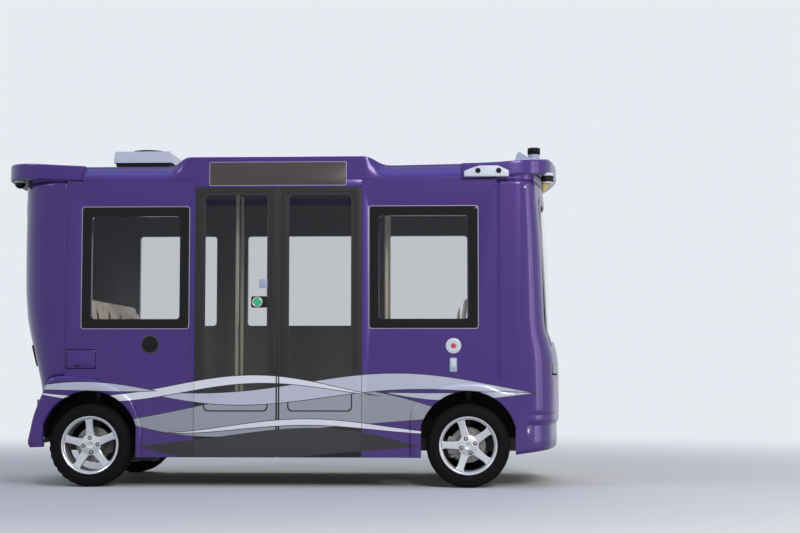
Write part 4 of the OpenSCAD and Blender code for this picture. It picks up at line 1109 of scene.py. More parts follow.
@dataclass(frozen=True)
class Screen:
    """A round-cornered opening in an end wall, seen from the front."""

    y: float
    z: float
    w: float
    h: float
    r: float
    band: float

    def covers(self, c: Vector, ahead: int) -> bool:
        """Whether a point of the wall lies behind the pane, clear of its edge."""
        return (c.x * ahead > 1.2 and abs(c.y - self.y) < self.w / 2 - self.band * 0.45
                and abs(c.z - self.z) < self.h / 2 - self.band * 0.45)

    def outline(self, shrink: float = 0.0) -> list[Flat]:
        """Its outline, moved in by a distance."""
        return round_rect(self.y, self.z, self.w - 2 * shrink, self.h - 2 * shrink, max(self.r - shrink, 0.02), 8)

    def pane(self, bench: Shape, wall: EndWall, proud: float, depth: float, rows: int = 8) -> None:
        """Lays a curved pane with its edge band on a wall.

        Args:
            bench: Where it is built; its finishes are glass and band.
            wall: The wall.
            proud: How far it stands out.
            depth: How far its edge reaches in.
            rows: Rings between its middle and its band.
        """
        outer, inner = self.outline(), self.outline(self.band)
        count = len(outer)
        last = rows + 4

        def place(u: float, v: float) -> Point:
            """A point of the pane."""
            i, j = round(u * count) % count, round(v * last)
            if j <= rows:
                y = self.y + (inner[i][0] - self.y) * j / rows
                z = self.z + (inner[i][1] - self.z) * j / rows
                return wall.facing(y, z, proud)
            t = min((j - rows) / 3, 1.0)
            y = inner[i][0] + (outer[i][0] - inner[i][0]) * t
            z = inner[i][1] + (outer[i][1] - inner[i][1]) * t
            return wall.facing(y, z, (proud if j < last else -depth) - (0.0006 if j == last - 1 else 0.0))

        bench.surface(count, last, place).weld(0.0001)
        bench.bm.normal_update()
        for f in bench.bm.faces:
            c = f.calc_center_median()
            inside = (abs(c.y - self.y) < self.w / 2 - self.band and abs(c.z - self.z) < self.h / 2 - self.band)
            corner = math.hypot(max(abs(c.y - self.y) - self.w / 2 + self.r, 0.0),
                                max(abs(c.z - self.z) - self.h / 2 + self.r, 0.0))
            f.material_index = 0 if inside and corner < self.r - self.band * 0.9 else 1


FRONT_SCREEN = Screen(0.0, 1.5625, 1.300, 1.095, 0.110, 0.070)
REAR_SCREEN = Screen(0.0, 1.630, 1.300, 0.960, 0.110, 0.070)
FRONT_LAMPS = (Screen(-0.560, 0.850, 0.256, 0.080, 0.034, 0.010), Screen(0.560, 0.850, 0.256, 0.080, 0.034, 0.010))
REAR_LAMPS = (Screen(-0.620, 0.940, 0.126, 0.156, 0.034, 0.010), Screen(0.620, 0.940, 0.126, 0.156, 0.034, 0.010))


@dataclass
class Glazing:
    """Windows with black bands and pale outlines, and the two end screens."""

    z: float = 1.572
    h: float = 0.876
    band: float = 0.067
    r: float = 0.018
    panes: tuple[tuple[Side, float, float], ...] = (
        (Side.RIGHT, -1.015, 0.777), (Side.RIGHT, 1.063, 0.777),
        (Side.LEFT, -1.015, 0.777), (Side.LEFT, 0.018, 1.040), (Side.LEFT, 1.063, 0.777))

    def build(self) -> None:
        """Builds all fixed glass."""
        bands, glass, trim = Shape(), Shape(), Shape()
        for side, x, w in self.panes:
            s = side.value
            outer = round_rect(x, self.z, w, self.h, self.r, 8)
            inner = round_rect(x, self.z, w - 2 * self.band, self.h - 2 * self.band, self.r, 8)
            bands.plate(outer, s * 0.8640, s * 0.8706, hole=inner, bevel=0.0008)
            glass.plate(round_rect(x, self.z, w - 2 * self.band + 0.01, self.h - 2 * self.band + 0.01, self.r, 8),
                        s * 0.8644, s * 0.8696)
            trim.plate(round_rect(x, self.z, w + 0.011, self.h + 0.011, self.r + 0.005, 8), s * 0.8685, s * 0.8712,
                       hole=round_rect(x, self.z, w - 0.001, self.h - 0.001, self.r, 8), bevel=0.0008)
        bands.piece("window_bands", INK.frit)
        glass.piece("window_glass", INK.glass, stands_for=["side_windows"])
        trim.piece("window_outlines", INK.trim)
        for name, screen, wall in (("windscreen", FRONT_SCREEN, FRONT), ("rear_window", REAR_SCREEN, REAR)):
            bench = Shape()
            screen.pane(bench, wall, 0.002, 0.006)
            bench.piece(f"{name}_pane", [INK.glass, INK.frit], stands_for=[name])


@dataclass
class Fenders:
    """Flared fenders over the wheels, with rolled arch lips."""

    flare: float = 0.020
    inner_y: float = 0.8262
    arch_r: float = 0.350
    arch_rise: float = 0.038
    arch_half: float = 0.336
    columns: int = 120
    rear: Table = table((378, 213), (376, 420), (337, 550), (293, 635), (220, 692), (75, 757), (-107, 793),
                        (-187, 796), (-288, 778), (-337, 692), (-372, 606), (-407, 513), (-431, 406), (-447, 314),
                        (-432, 282))
    front: Table = table((-415, 213), (-418, 340), (-408, 531), (-342, 623), (-235, 694), (-135, 734), (0, 747),
                         (135, 736), (262, 684), (336.6, 655), (336.6, 445))

    def build(self) -> None:
        """Builds the four fenders as one piece."""
        bench = Shape()
        self._strip(bench, REAR_AXLE, self.rear, 1, 0.285)
        self._strip(bench, FRONT_AXLE, self.front, -1, 0.445)
        bench.both_sides()
        bench.piece("fender_flares", INK.paint, smooth=50.0, stands_for=["fenders"])

    def _arch(self, ahead: int, end_z: float) -> list[Flat]:
        """The arch's edge, from the foot by the doors over the wheel to the other foot."""
        rise = WHEEL_Z + self.arch_rise
        a = math.acos(self.arch_half / self.arch_r)
        turns = [a + (math.pi - 2 * a) * k / 40 for k in range(41)]
        arc = [(self.arch_r * math.cos(turn), rise + self.arch_r * math.sin(turn)) for turn in turns]
        points = [(self.arch_half, SILL_Z)] + arc + [(-self.arch_half, end_z)]
        return [(ahead * x, z) for x, z in points]

    def _smooth(self, points: Table) -> list[Flat]:
        """Points spread evenly along a smooth line through the table's."""
        lengths = [0.0]
        for a, b in zip(points, points[1:]):
            lengths.append(lengths[-1] + math.dist(a, b))
        places = [lengths[-1] * k / 400 for k in range(401)]
        xs = list(zip(lengths, (p[0] for p in points)))
        zs = list(zip(lengths, (p[1] for p in points)))
        return resample([(curve(xs, s), curve(zs, s)) for s in places], self.columns + 1)

    def _strip(self, bench: Shape, axle: float, outline: Table, ahead: int, end_z: float) -> None:
        """Lays one fender on the right side.

        Args:
            bench: Where it is built.
            axle: Its axle's place.
            outline: Its outer outline, from the axle.
            ahead: 1 if its foot by the doors is ahead of the axle.
            end_z: Height of the arch's other end.
        """
        outer = self._smooth(outline)
        inner = resample(self._arch(ahead, end_z), self.columns + 1)
        crown = HALF_W + self.flare
        rows = ((0.0, 0.0, "deep"), (0.0, 0.0, HALF_W - 0.002), (0.004, 0.0, HALF_W + 0.008),
                (0.011, 0.0, HALF_W + 0.0145), (0.020, 0.0, HALF_W + 0.0182), (0.032, 0.0, crown),
                (0.0, 0.009, crown), (0.0, 0.003, crown - 0.0012), (0.0, 0.0005, crown - 0.004),
                (0.0, 0.0, crown - 0.009), (0.0, 0.0, self.inner_y), (0.0, 0.0, "deep"))

        def place(u: float, v: float) -> Point:
            """A point of the fender's skin."""
            i, j = round(u * self.columns), round(v * (len(rows) - 1))
            from_out, from_in, y = rows[j]
            a, b = Vector(outer[i]), Vector(inner[i])
            gap = max((b - a).length, 1e-6)
            if j <= 5 or j == len(rows) - 1:
                spot = a + (b - a) * min(from_out / gap, 0.5)
            else:
                spot = b + (a - b) * min(from_in / gap, 0.4)
            if y == "deep":
                y = 0.702 if ahead == 1 and spot.x < -0.402 and spot.y < 0.6195 else self.inner_y
            fade = 1.0 - ease(spot.x, 0.18, 0.330) if ahead == -1 else 1.0
            if y > HALF_W:
                y = HALF_W + 0.0004 + (y - HALF_W) * fade
            return (axle + spot.x, -y, spot.y)

        bench.surface(self.columns, len(rows) - 1, place).weld(0.0001).cap()


@dataclass
class Roof:
    """Roof with its boxy end brims, leaning sides, raised middle and pale ceiling."""

    lean: float = 0.088
    ceiling: float = 2.253
    columns: int = 420
    front_x: float = 2.062
    rear_x: float = 2.072
    brim_out: float = 0.020
    corner_r: float = 0.330
    bow: float = 3.0
    rear_top: Table = table((0, 171), (600, 171), (640, 168), (672, 158), (708, 136), (745, 118), (790, 113),
                            (1398, 113), (1410, 109), (1700, 124), (1980, 141), (2080, 141))
    front_top: Table = table((0, 171), (620, 172), (660, 168), (700, 154), (745, 132), (790, 120), (840, 116),
                             (1332, 124), (1344, 117), (1613, 126), (1900, 154), (1990, 170), (2070, 170))
    rear_low: Table = table((0, 0), (1340, 0), (1625, 9), (2100, 33))
    front_low: Table = table((0, 0), (1340, 0), (1900, 43), (2090, 70))

    def build(self) -> None:
        """Builds the roof and the bar above the doors."""
        bench = Shape()
        rows = len(self._section(0.0))
        bench.surface(self.columns, rows + 3, self._spot).weld(0.0002)
        bench.bm.normal_update()
        bench.mark(1, lambda c, n: c.z < self.ceiling + 0.002 and abs(c.y) < HALF_W - 0.046 and abs(n.z) > 0.9)
        bench.block((-0.5846, -HALF_W, 2.1514), (0.6206, -0.826, 2.206), 0.002)
        for wall, low in ((FRONT, self.front_low), (REAR, self.rear_low)):
            bench.surface(96, 3, partial(self._neck, wall, low))
        bench.piece("roof_skin", [INK.paint, INK.lining], smooth=40.0, stands_for=["roof"])

    def _neck(self, wall: EndWall, low: Table, u: float, v: float) -> Point:
        """A point of the wall that carries on above an end wall to the underside of the brim."""
        row = round(3 * v)
        x, y, _ = wall.at(u, WALL_TOP, 0.0 if row < 2 else 0.030)
        return (x, y, WALL_TOP + (curve(low, abs(x)) + 0.003 if row in (1, 2) else 0.0))

    def _plan(self, s: float) -> tuple[float, float, float, float]:
        """A point of the roof's outline and its outward direction, for a share of the way round."""
        q = (s * 4) % 4
        side = -1 if q < 1 or q >= 3 else 1
        ahead = 1 if q < 2 else -1
        t = q % 1 if int(q) in (0, 2) else 1 - q % 1
        reach = self.front_x if ahead == 1 else self.rear_x
        hw = HALF_W + self.brim_out
        r, bow = self.corner_r, self.bow
        drop = bow - math.sqrt((bow - r) ** 2 - (hw - r) ** 2)
        a = math.asin((hw - r) / (bow - r))
        start = reach - drop
        if t < 0.70:
            x = self._stations(t / 0.70, start)
            out = self.brim_out * (ease(x, 1.400, 1.409) if ahead == -1 else ease(x, 1.334, 1.343))
            return ahead * x, side * (HALF_W + out), 0.0, float(side)
        if t < 0.86:
            turn = math.pi / 2 + (a - math.pi / 2) * (t - 0.70) / 0.16
            return (ahead * (start + r * math.cos(turn)), side * (hw - r + r * math.sin(turn)),
                    ahead * math.cos(turn), side * math.sin(turn))
        turn = a * (1 - t) / 0.14
        return (ahead * (reach - bow + bow * math.cos(turn)), side * bow * math.sin(turn),
                ahead * math.cos(turn), side * math.sin(turn))

    def _stations(self, t: float, start: float) -> float:
        """Places along the side, closer together where the roof changes."""
        marks = ((0.0, 0.0), (0.12, 0.58), (0.40, 0.86), (0.46, 1.326), (0.58, 1.350), (0.62, 1.394), (0.76, 1.420),
                 (1.0, start))
        i = next(k for k in range(len(marks) - 1) if t <= marks[k + 1][0] + 1e-9)
        (a, x0), (b, x1) = marks[i], marks[i + 1]
        return x0 + (x1 - x0) * (t - a) / (b - a)

    def _heights(self, x: float) -> tuple[float, float]:
        """Underside and top of the roof's side at a place."""
        low, top = (self.front_low, self.front_top) if x > 0 else (self.rear_low, self.rear_top)
        return WALL_TOP + curve(low, abs(x)), WALL_TOP + curve(top, abs(x))

    def _leaning(self, x: float) -> float:
        """How far the roof's top edge leans in at a place."""
        far = 1.400 if x < 0 else 1.338
        return self.lean * ease(abs(x), 0.64, 0.80) * (1 - ease(abs(x), far - 0.005, far + 0.006))

    def _section(self, x: float, out: float = 0.0) -> list[Flat]:
        """Distance in from the outline and height of the section's corners.

        Args:
            x: Place along the roof.
            out: How far the outline faces forward or back there, 0 to 1.

        Returns:
            The corners from the ceiling's edge round the outside to the top.
        """
        low, top = self._heights(x)
        lean = self._leaning(x)
        brim = ease(abs(x), 1.395, 1.412) if x < 0 else ease(abs(x), 1.329, 1.346)
        foot = 0.003 + 0.005 * brim
        edge = 0.010 + 0.004 * brim + (0.018 * ease(x, 1.85, 2.05))
        inner = 0.0445 + 0.020 * brim + (0.085 if x > 0 else 0.110) * out
        points = [(inner, self.ceiling), (inner, low), (foot, low), (0.3 * foot, low + 0.3 * foot),
                  (0.0, low + foot)]
        span = top - edge - (low + foot)
        for k in range(1, 8):
            t = k / 7
            swell = lean * (0.12 * t + 0.88 * t**2.1)
            points.append((swell, low + foot + span * t))
        for k in range(1, 7):
            turn = math.radians(15 * k)
            points.append((lean + edge * (1 - math.cos(turn)), top - edge + edge * math.sin(turn)))
        return points

    def _spot(self, u: float, v: float) -> Point:
        """A point of the roof's skin."""
        x, y, nx, ny = self._plan(u)
        section = self._section(x, abs(nx))
        count = len(section) + 3
        j = round(v * count)
        middle = Vector((min(max(x, -1.72), 1.72), 0.0))
        if j == 0:
            return (middle.x, 0.0, self.ceiling)
        if j <= len(section):
            inset, z = section[j - 1]
            return (x - nx * inset, y - ny * inset, z)
        inset, z = section[-1]
        edge = Vector((x - nx * inset, y - ny * inset))
        share = (j - len(section)) / 3
        spot = edge + (middle - edge) * share
        crown = 0.004 * math.sin(math.pi / 2 * share)
        return (spot.x, spot.y, self._heights(spot.x)[1] + crown)


@dataclass
class Doors:
    """Two glazed plug-door leaves with seals, a button and a handle plate."""

    middle: float = 0.018
    width: float = 1.206
    top: float = 2.151
    gap: float = 0.004
    border: float = 0.072
    glass_low: float = 0.543
    glass_top: float = 2.101
    thick: float = 0.040
    button: Flat = (-0.130, 1.323)
    blank: Flat = (-0.089, 1.454)

    def build(self) -> None:
        """Builds both leaves with their glass and fittings."""
        leaf = (self.width - self.gap) / 2
        glass, seals = Shape(), Shape()
        for name, ahead in (("rear", -1), ("front", 1)):
            x = self.middle + ahead * (leaf + self.gap) / 2
            z, h = (SILL_Z + self.top) / 2, self.top - SILL_Z
            gz, gh = (self.glass_low + self.glass_top) / 2, self.glass_top - self.glass_low
            gw = leaf - 2 * self.border
            bench = Shape().plate(round_rect(x, z, leaf, h, 0.010, 8), -HALF_W + self.thick, -HALF_W, bevel=0.0025,
                                  hole=round_rect(x, gz, gw, gh, 0.034, 8))
            bench.bm.normal_update()
            bench.mark(1, lambda c, n: c.y > -HALF_W + self.thick - 0.001 and n.y > 0.9)
            bench.piece(f"door_leaf_{name}_frame", [INK.frame_dark, INK.lining], stands_for=[f"door_leaf_{name}"])
            glass.plate(round_rect(x, gz, gw + 0.012, gh + 0.012, 0.036, 8), -HALF_W + 0.006, -HALF_W + 0.0004)
            seals.plate(round_rect(x, gz, gw + 0.010, gh + 0.010, 0.036, 8), -HALF_W + 0.004, -HALF_W - 0.0010,
                        hole=round_rect(x, gz, gw - 0.012, gh - 0.012, 0.030, 8), bevel=0.0012)
            seals.plate(round_rect(x, z, leaf - 0.001, h - 0.001, 0.010, 8), -HALF_W + 0.004, -HALF_W - 0.0006,
                        hole=round_rect(x, z, leaf - 0.013, h - 0.013, 0.008, 8), bevel=0.0008)
        glass.piece("door_panes", INK.glass, stands_for=["door_glass"])
        for dx in (-0.0085, 0.0085):
            seals.block((self.middle + dx - 0.0075, -HALF_W - 0.0015, SILL_Z + 0.004),
                        (self.middle + dx + 0.0075, -HALF_W + 0.02, self.top - 0.004), 0.003)
        seals.piece("door_seals", INK.seal)
        self._button()

    def _button(self) -> None:
        """Adds the door button on its plate and the blank plate above it."""
        spot = (self.button[0], -HALF_W - 0.002, self.button[1])
        plate = Shape().plate(round_rect(spot[0] + 0.014, spot[2], 0.118, 0.082, 0.012, 4), -HALF_W + 0.001,
                              -HALF_W - 0.0022, bevel=0.0015)
        plate.lathe([(0.0, 0.0105), (0.022, 0.0100), (0.0290, 0.0070), (0.0300, 0.0)], spot, OUT, 32, finish=1)
        plate.lathe([(0.0302, 0.0), (0.0308, 0.0068), (0.0335, 0.0082), (0.0365, 0.0066), (0.0375, 0.0)], spot, OUT,
                    32, finish=2)
        plate.piece("door_button", [INK.dark, INK.green, INK.steel])
        blank = Shape().plate(round_rect(*self.blank, 0.060, 0.066, 0.004, 4), -HALF_W + 0.001, -HALF_W - 0.0012,
                              bevel=0.0006)
        blank.piece("blank_plate", INK.grey)


@dataclass
class Display:
    """Blank display above the doors, in its thin frame."""

    x: float = 0.013
    z: float = 2.249
    w: float = 0.994
    h: float = 0.175

    def build(self) -> None:
        """Builds the display."""
        face = round_rect(self.x, self.z, self.w, self.h, 0.010, 4)
        bench = Shape().plate(face, -0.845, -0.8708, bevel=0.0006)
        bench.plate(face, -0.860, -0.8720, hole=round_rect(self.x, self.z, self.w - 0.010, self.h - 0.010, 0.008, 4),
                    bevel=0.0006, finish=1)
        bench.piece("display_window", [INK.screen, INK.trim], stands_for=["display_panel"])


@dataclass
class CoolingUnit:
    """Cooling unit: cover with its screws, louvred base on feet, and fan with its grille."""

    low: float = WALL_TOP + 0.208
    top: float = WALL_TOP + 0.295
    half: float = 0.300
    inset: float = 0.015
    fan_x: float = -1.098
    feet_x: Flat = (-1.240, -0.940)
    foot_y: float = 0.230
    foot_half: float = 0.039
    grille: tuple[float, ...] = (0.024, 0.046, 0.068, 0.090)

    def build(self) -> None:
        """Builds the three pieces."""
        self._cover()
        self._base()
        self._fan()

    def _cover(self) -> None:
        """Makes the cover with its screws."""
        low, top, half = self.low, self.top, self.half
        side = [(-1.3118, low), (-1.3068, top - 0.012), (-1.2950, top), (-0.8830, top), (-0.8712, top - 0.012),
                (-0.8662, low)]
        cover = Shape().plate(side, half, -half)
        for out in (-1, 1):
            for x in (-1.285, -1.089, -0.893):
                cover.drum((x, out * (half - 0.001), low + 0.016), (x, out * (half + 0.0016), low + 0.016), 0.0055,
                           sides=12, finish=1)
        cover.piece("cooling_cover", [INK.pale, INK.steel], smooth=30.0, bevel=0.004, stands_for=["cooling_unit"])

    def _base(self) -> None:
        """Makes the base with its louvres and feet."""
        edge, half = self.half - self.inset, self.foot_half
        base = Shape().block((-1.2965, -edge, WALL_TOP + 0.1825), (-0.8815, edge, self.low + 0.001), 0.002)
        for x in self.feet_x:
            for y in (-self.foot_y, self.foot_y):
                base.block((x - half, y - half, WALL_TOP + 0.110), (x + half, y + half, WALL_TOP + 0.184), 0.004)
        for k in range(20):
            x = -1.288 + k * 0.0205
            for y in (-edge, edge):
                base.block((x, y - 0.0012, WALL_TOP + 0.187), (x + 0.009, y + 0.0012, WALL_TOP + 0.203), 0.0006)
        base.piece("cooling_base", INK.dark)

    def _fan(self) -> None:
        """Makes the fan's shroud, its grille of rings and bars, and its hub."""
        centre = (self.fan_x, 0, self.top)
        fan = Shape().lathe([(0.1298, -0.001), (0.1298, 0.0335), (0.1270, 0.0368), (0.1190, 0.0370), (0.1150, 0.0340),
                             (0.1130, 0.0080), (0.0, 0.0080)], centre, UP, 64)
        for r in self.grille:
            fan.lathe([(r - 0.0016, 0.031), (r, 0.0328), (r + 0.0016, 0.031), (r, 0.0292)], centre, UP, 48, finish=1,
                      closed=True)
        for k in range(6):
            reach = Vector((0.1145 * math.cos(math.pi * k / 6), 0.1145 * math.sin(math.pi * k / 6), 0.0))
            middle = Vector(centre) + Vector((0.0, 0.0, 0.0292))
            fan.drum(middle - reach, middle + reach, 0.0018, sides=8, finish=1)
        fan.lathe([(0.034, 0.008), (0.034, 0.022), (0.030, 0.025), (0.0, 0.0255)], centre, UP, 32, finish=1)
        fan.piece("cooling_fan", [INK.dark, INK.chassis], smooth=30.0)


@dataclass
class RoofSensor:
    """Fin-shaped roof sensor with its drum."""

    x: float = 1.898
    z: float = WALL_TOP
    half: float = 0.0598
    side: tuple[Flat, ...] = (
        (1.7505, 0.139), (1.900, 0.155), (1.9505, 0.167), (1.9508, 0.252), (1.9460, 0.2585), (1.900, 0.2615),
        (1.876, 0.2625), (1.860, 0.2660), (1.838, 0.2795), (1.812, 0.2950), (1.796, 0.3050), (1.786, 0.3090),
        (1.777, 0.3075), (1.768, 0.2980), (1.759, 0.2780), (1.7525, 0.2500), (1.7505, 0.2200))
    neck: tuple[Flat, ...] = ((0.0440, 0.250), (0.0440, 0.280), (0.0430, 0.2815), (0.0430, 0.2840), (0.0440, 0.2855),
                              (0.0440, 0.296))
    drum: tuple[Flat, ...] = ((0.0440, 0.2955), (0.0485, 0.2960), (0.0490, 0.2975), (0.0490, 0.3380), (0.0475, 0.3435),
                              (0.0430, 0.3468), (0.0340, 0.3478), (0.0, 0.3480))

    def build(self) -> None:
        """Builds the sensor."""
        bench = Shape().plate([(x, self.z + z) for x, z in self.side], self.half, -self.half)
        bench.lathe(self.neck, (self.x, 0, self.z), UP, 48)
        bench.lathe(self.drum, (self.x, 0, self.z), UP, 48, finish=1)
        bench.piece("roof_fin", [INK.grey, INK.dark], smooth=32.0, bevel=0.005, stands_for=["roof_sensor"])


@dataclass
class CameraPods:
    """A pod with two cameras on each side of the front brim."""

    z: float = WALL_TOP
    y: float = HALF_W + 0.020
    lens_z: float = 0.055
    lenses: Flat = (1.454, 1.602)
    outline: tuple[Flat, ...] = ((1.354, 0.014), (1.354, 0.052), (1.375, 0.062), (1.420, 0.079), (1.465, 0.0925),
                                 (1.597, 0.0925), (1.640, 0.074), (1.675, 0.055), (1.675, 0.014))

    def build(self) -> None:
        """Builds both pods."""
        bench = Shape().plate([(x, self.z + z) for x, z in self.outline], -self.y + 0.012, -self.y - 0.0295,
                              bevel=0.007, steps=3)
        for x in self.lenses:
            centre = (x, -self.y, self.z + self.lens_z)
            bench.lathe([(0.0235, 0.0270), (0.0235, 0.0312), (0.0205, 0.0318), (0.0195, 0.0290)], centre, OUT, 32)
            bench.lathe([(0.0195, 0.0270), (0.0190, 0.0298), (0.0150, 0.0303), (0.0, 0.0306)], centre, OUT, 32,
                        finish=1)
        bench.both_sides()
        bench.piece("camera_pods", [INK.pale, INK.frit], smooth=32.0, stands_for=["side_cameras"])


@dataclass
class CornerSensors:
    """Drum sensors with slanted housings at the front corners, and camera domes at the rear ones."""

    drum: Point = (1.960, -0.700, WALL_TOP)
    dome: Point = (-1.917, -0.690, WALL_TOP)
    slant: float = 0.30

    def build(self) -> None:
        """Builds the four sensors."""
        bench = Shape()
        bench.lathe([(0.0, -0.083), (0.005, -0.083), (0.031, -0.0175), (0.031, -0.0150)], self.drum, UP, 48, finish=1)
        for v in bench.bm.verts:
            v.co.x -= 0.012 + self.slant * (self.drum[2] - 0.0155 - v.co.z)
        for profile, finish in (
                (((0.0, -0.0150), (0.041, -0.0150), (0.0440, -0.0142), (0.0448, -0.0125), (0.0448, -0.0065),
                  (0.0440, -0.0050)), 3),
                (((0.0440, -0.0050), (0.045, -0.0035), (0.045, 0.0385), (0.0440, 0.0400)), 0),
                (((0.0440, 0.0400), (0.0448, 0.0410), (0.0448, 0.0600)), 3)):
            bench.lathe(profile, self.drum, UP, 48, finish=finish)
        bench.lathe([(0.0, -0.034), (0.012, -0.0322), (0.024, -0.0263), (0.034, -0.0162), (0.0395, -0.004),
                     (0.041, 0.007)], self.dome, UP, 48, finish=2)
        bench.lathe([(0.041, 0.007), (0.0425, 0.009), (0.0425, 0.0235)], self.dome, UP, 48, finish=3)
        bench.both_sides()
        bench.piece("corner_drums", [INK.dark, INK.amber, INK.frit, INK.pale], smooth=32.0,
                    stands_for=["corner_sensors"])


@dataclass
class Lamps:
    """Head and tail lamps, flush in the end walls."""

    rings: int = 5

    def build(self) -> None:
        """Builds both pairs."""
        for name, lamps, wall, proud, depth, lens, nodes in (
                ("head_lamps", FRONT_LAMPS, FRONT, 0.0, 0.012, INK.smoked, ()),
                ("tail_lamps", REAR_LAMPS, REAR, 0.011, 0.010, INK.red_lens, ("lamps",))):
            bench = Shape()
            for lamp in lamps:
                lamp.pane(bench, wall, proud, depth, self.rings)
            bench.piece(name, [lens, INK.frit], stands_for=nodes)


@dataclass
class Marks:
    """Small parts on the walls: vent, corner marks, round marker and key box."""

    vent: Point = (-0.902, -HALF_W, 1.019)
    slat: float = 0.0148
    marker: Point = (1.276, -HALF_W, 1.008)
    box: Flat = (1.2745, 0.872)

    def build(self) -> None:
        """Builds the small parts."""
        self._vent()
        self._dots()
        self._marker()
        self._box()

    def _vent(self) -> None:
        """Makes the round vent with its slats."""
        x, y, z = self.vent
        vent = Shape().lathe([(0.066, 0.0), (0.066, 0.0034), (0.063, 0.0050), (0.058, 0.0046)], self.vent, OUT, 48,
                             finish=1)
        vent.lathe([(0.058, 0.0046), (0.056, 0.0008), (0.0, 0.0008)], self.vent, OUT, 48)
        for k in range(-3, 4):
            half = math.sqrt(0.055**2 - (k * self.slat) ** 2)
            vent.block((x - half, y - 0.0030, z + k * self.slat - 0.0038),
                       (x + half, y + 0.001, z + k * self.slat + 0.0038), 0.0012)
        vent.piece("side_vent", [INK.dark, INK.chassis])

    def _dots(self) -> None:
        """Makes the small dot under the brim and the mark in the bumper's band, on both corners."""
        spot, out = Vector(FRONT.beside(1.790, 2.146)), Vector((0.25, -0.97, 0.0))
        dots = Shape().drum(spot - out * 0.001, spot + out * 0.004, 0.0065, sides=16, bevel=0.001)
        mark = Vector(FRONT.beside(1.806, 0.404))
        dots.block(mark + Vector((-0.006, -0.003, -0.014)), mark + Vector((0.006, 0.004, 0.014)), 0.002)
        dots.both_sides().piece("corner_dots", INK.lens)

    def _marker(self) -> None:
        """Makes the pale disc with its red middle."""
        disc = Shape().lathe([(0.055, 0.0), (0.055, 0.0022), (0.053, 0.0034), (0.020, 0.0036), (0.0185, 0.0030)],
                             self.marker, OUT, 48)
        disc.lathe([(0.0185, 0.0030), (0.0180, 0.0052), (0.0120, 0.0068), (0.0, 0.0072)], self.marker, OUT, 32,
                   finish=1)
        disc.piece("round_marker", [INK.pale, INK.red_lens])

    def _box(self) -> None:
        """Makes the key box with its lid."""
        x, z = self.box
        box = Shape().plate(round_rect(x, z, 0.053, 0.102, 0.010, 4), -HALF_W + 0.002, -HALF_W - 0.012, bevel=0.004,
                            steps=3)
        box.plate(round_rect(x, z + 0.012, 0.034, 0.058, 0.006, 4), -HALF_W - 0.010, -HALF_W - 0.0128, bevel=0.0008,
                  finish=1)
        box.piece("key_box", [INK.grey, INK.pale])


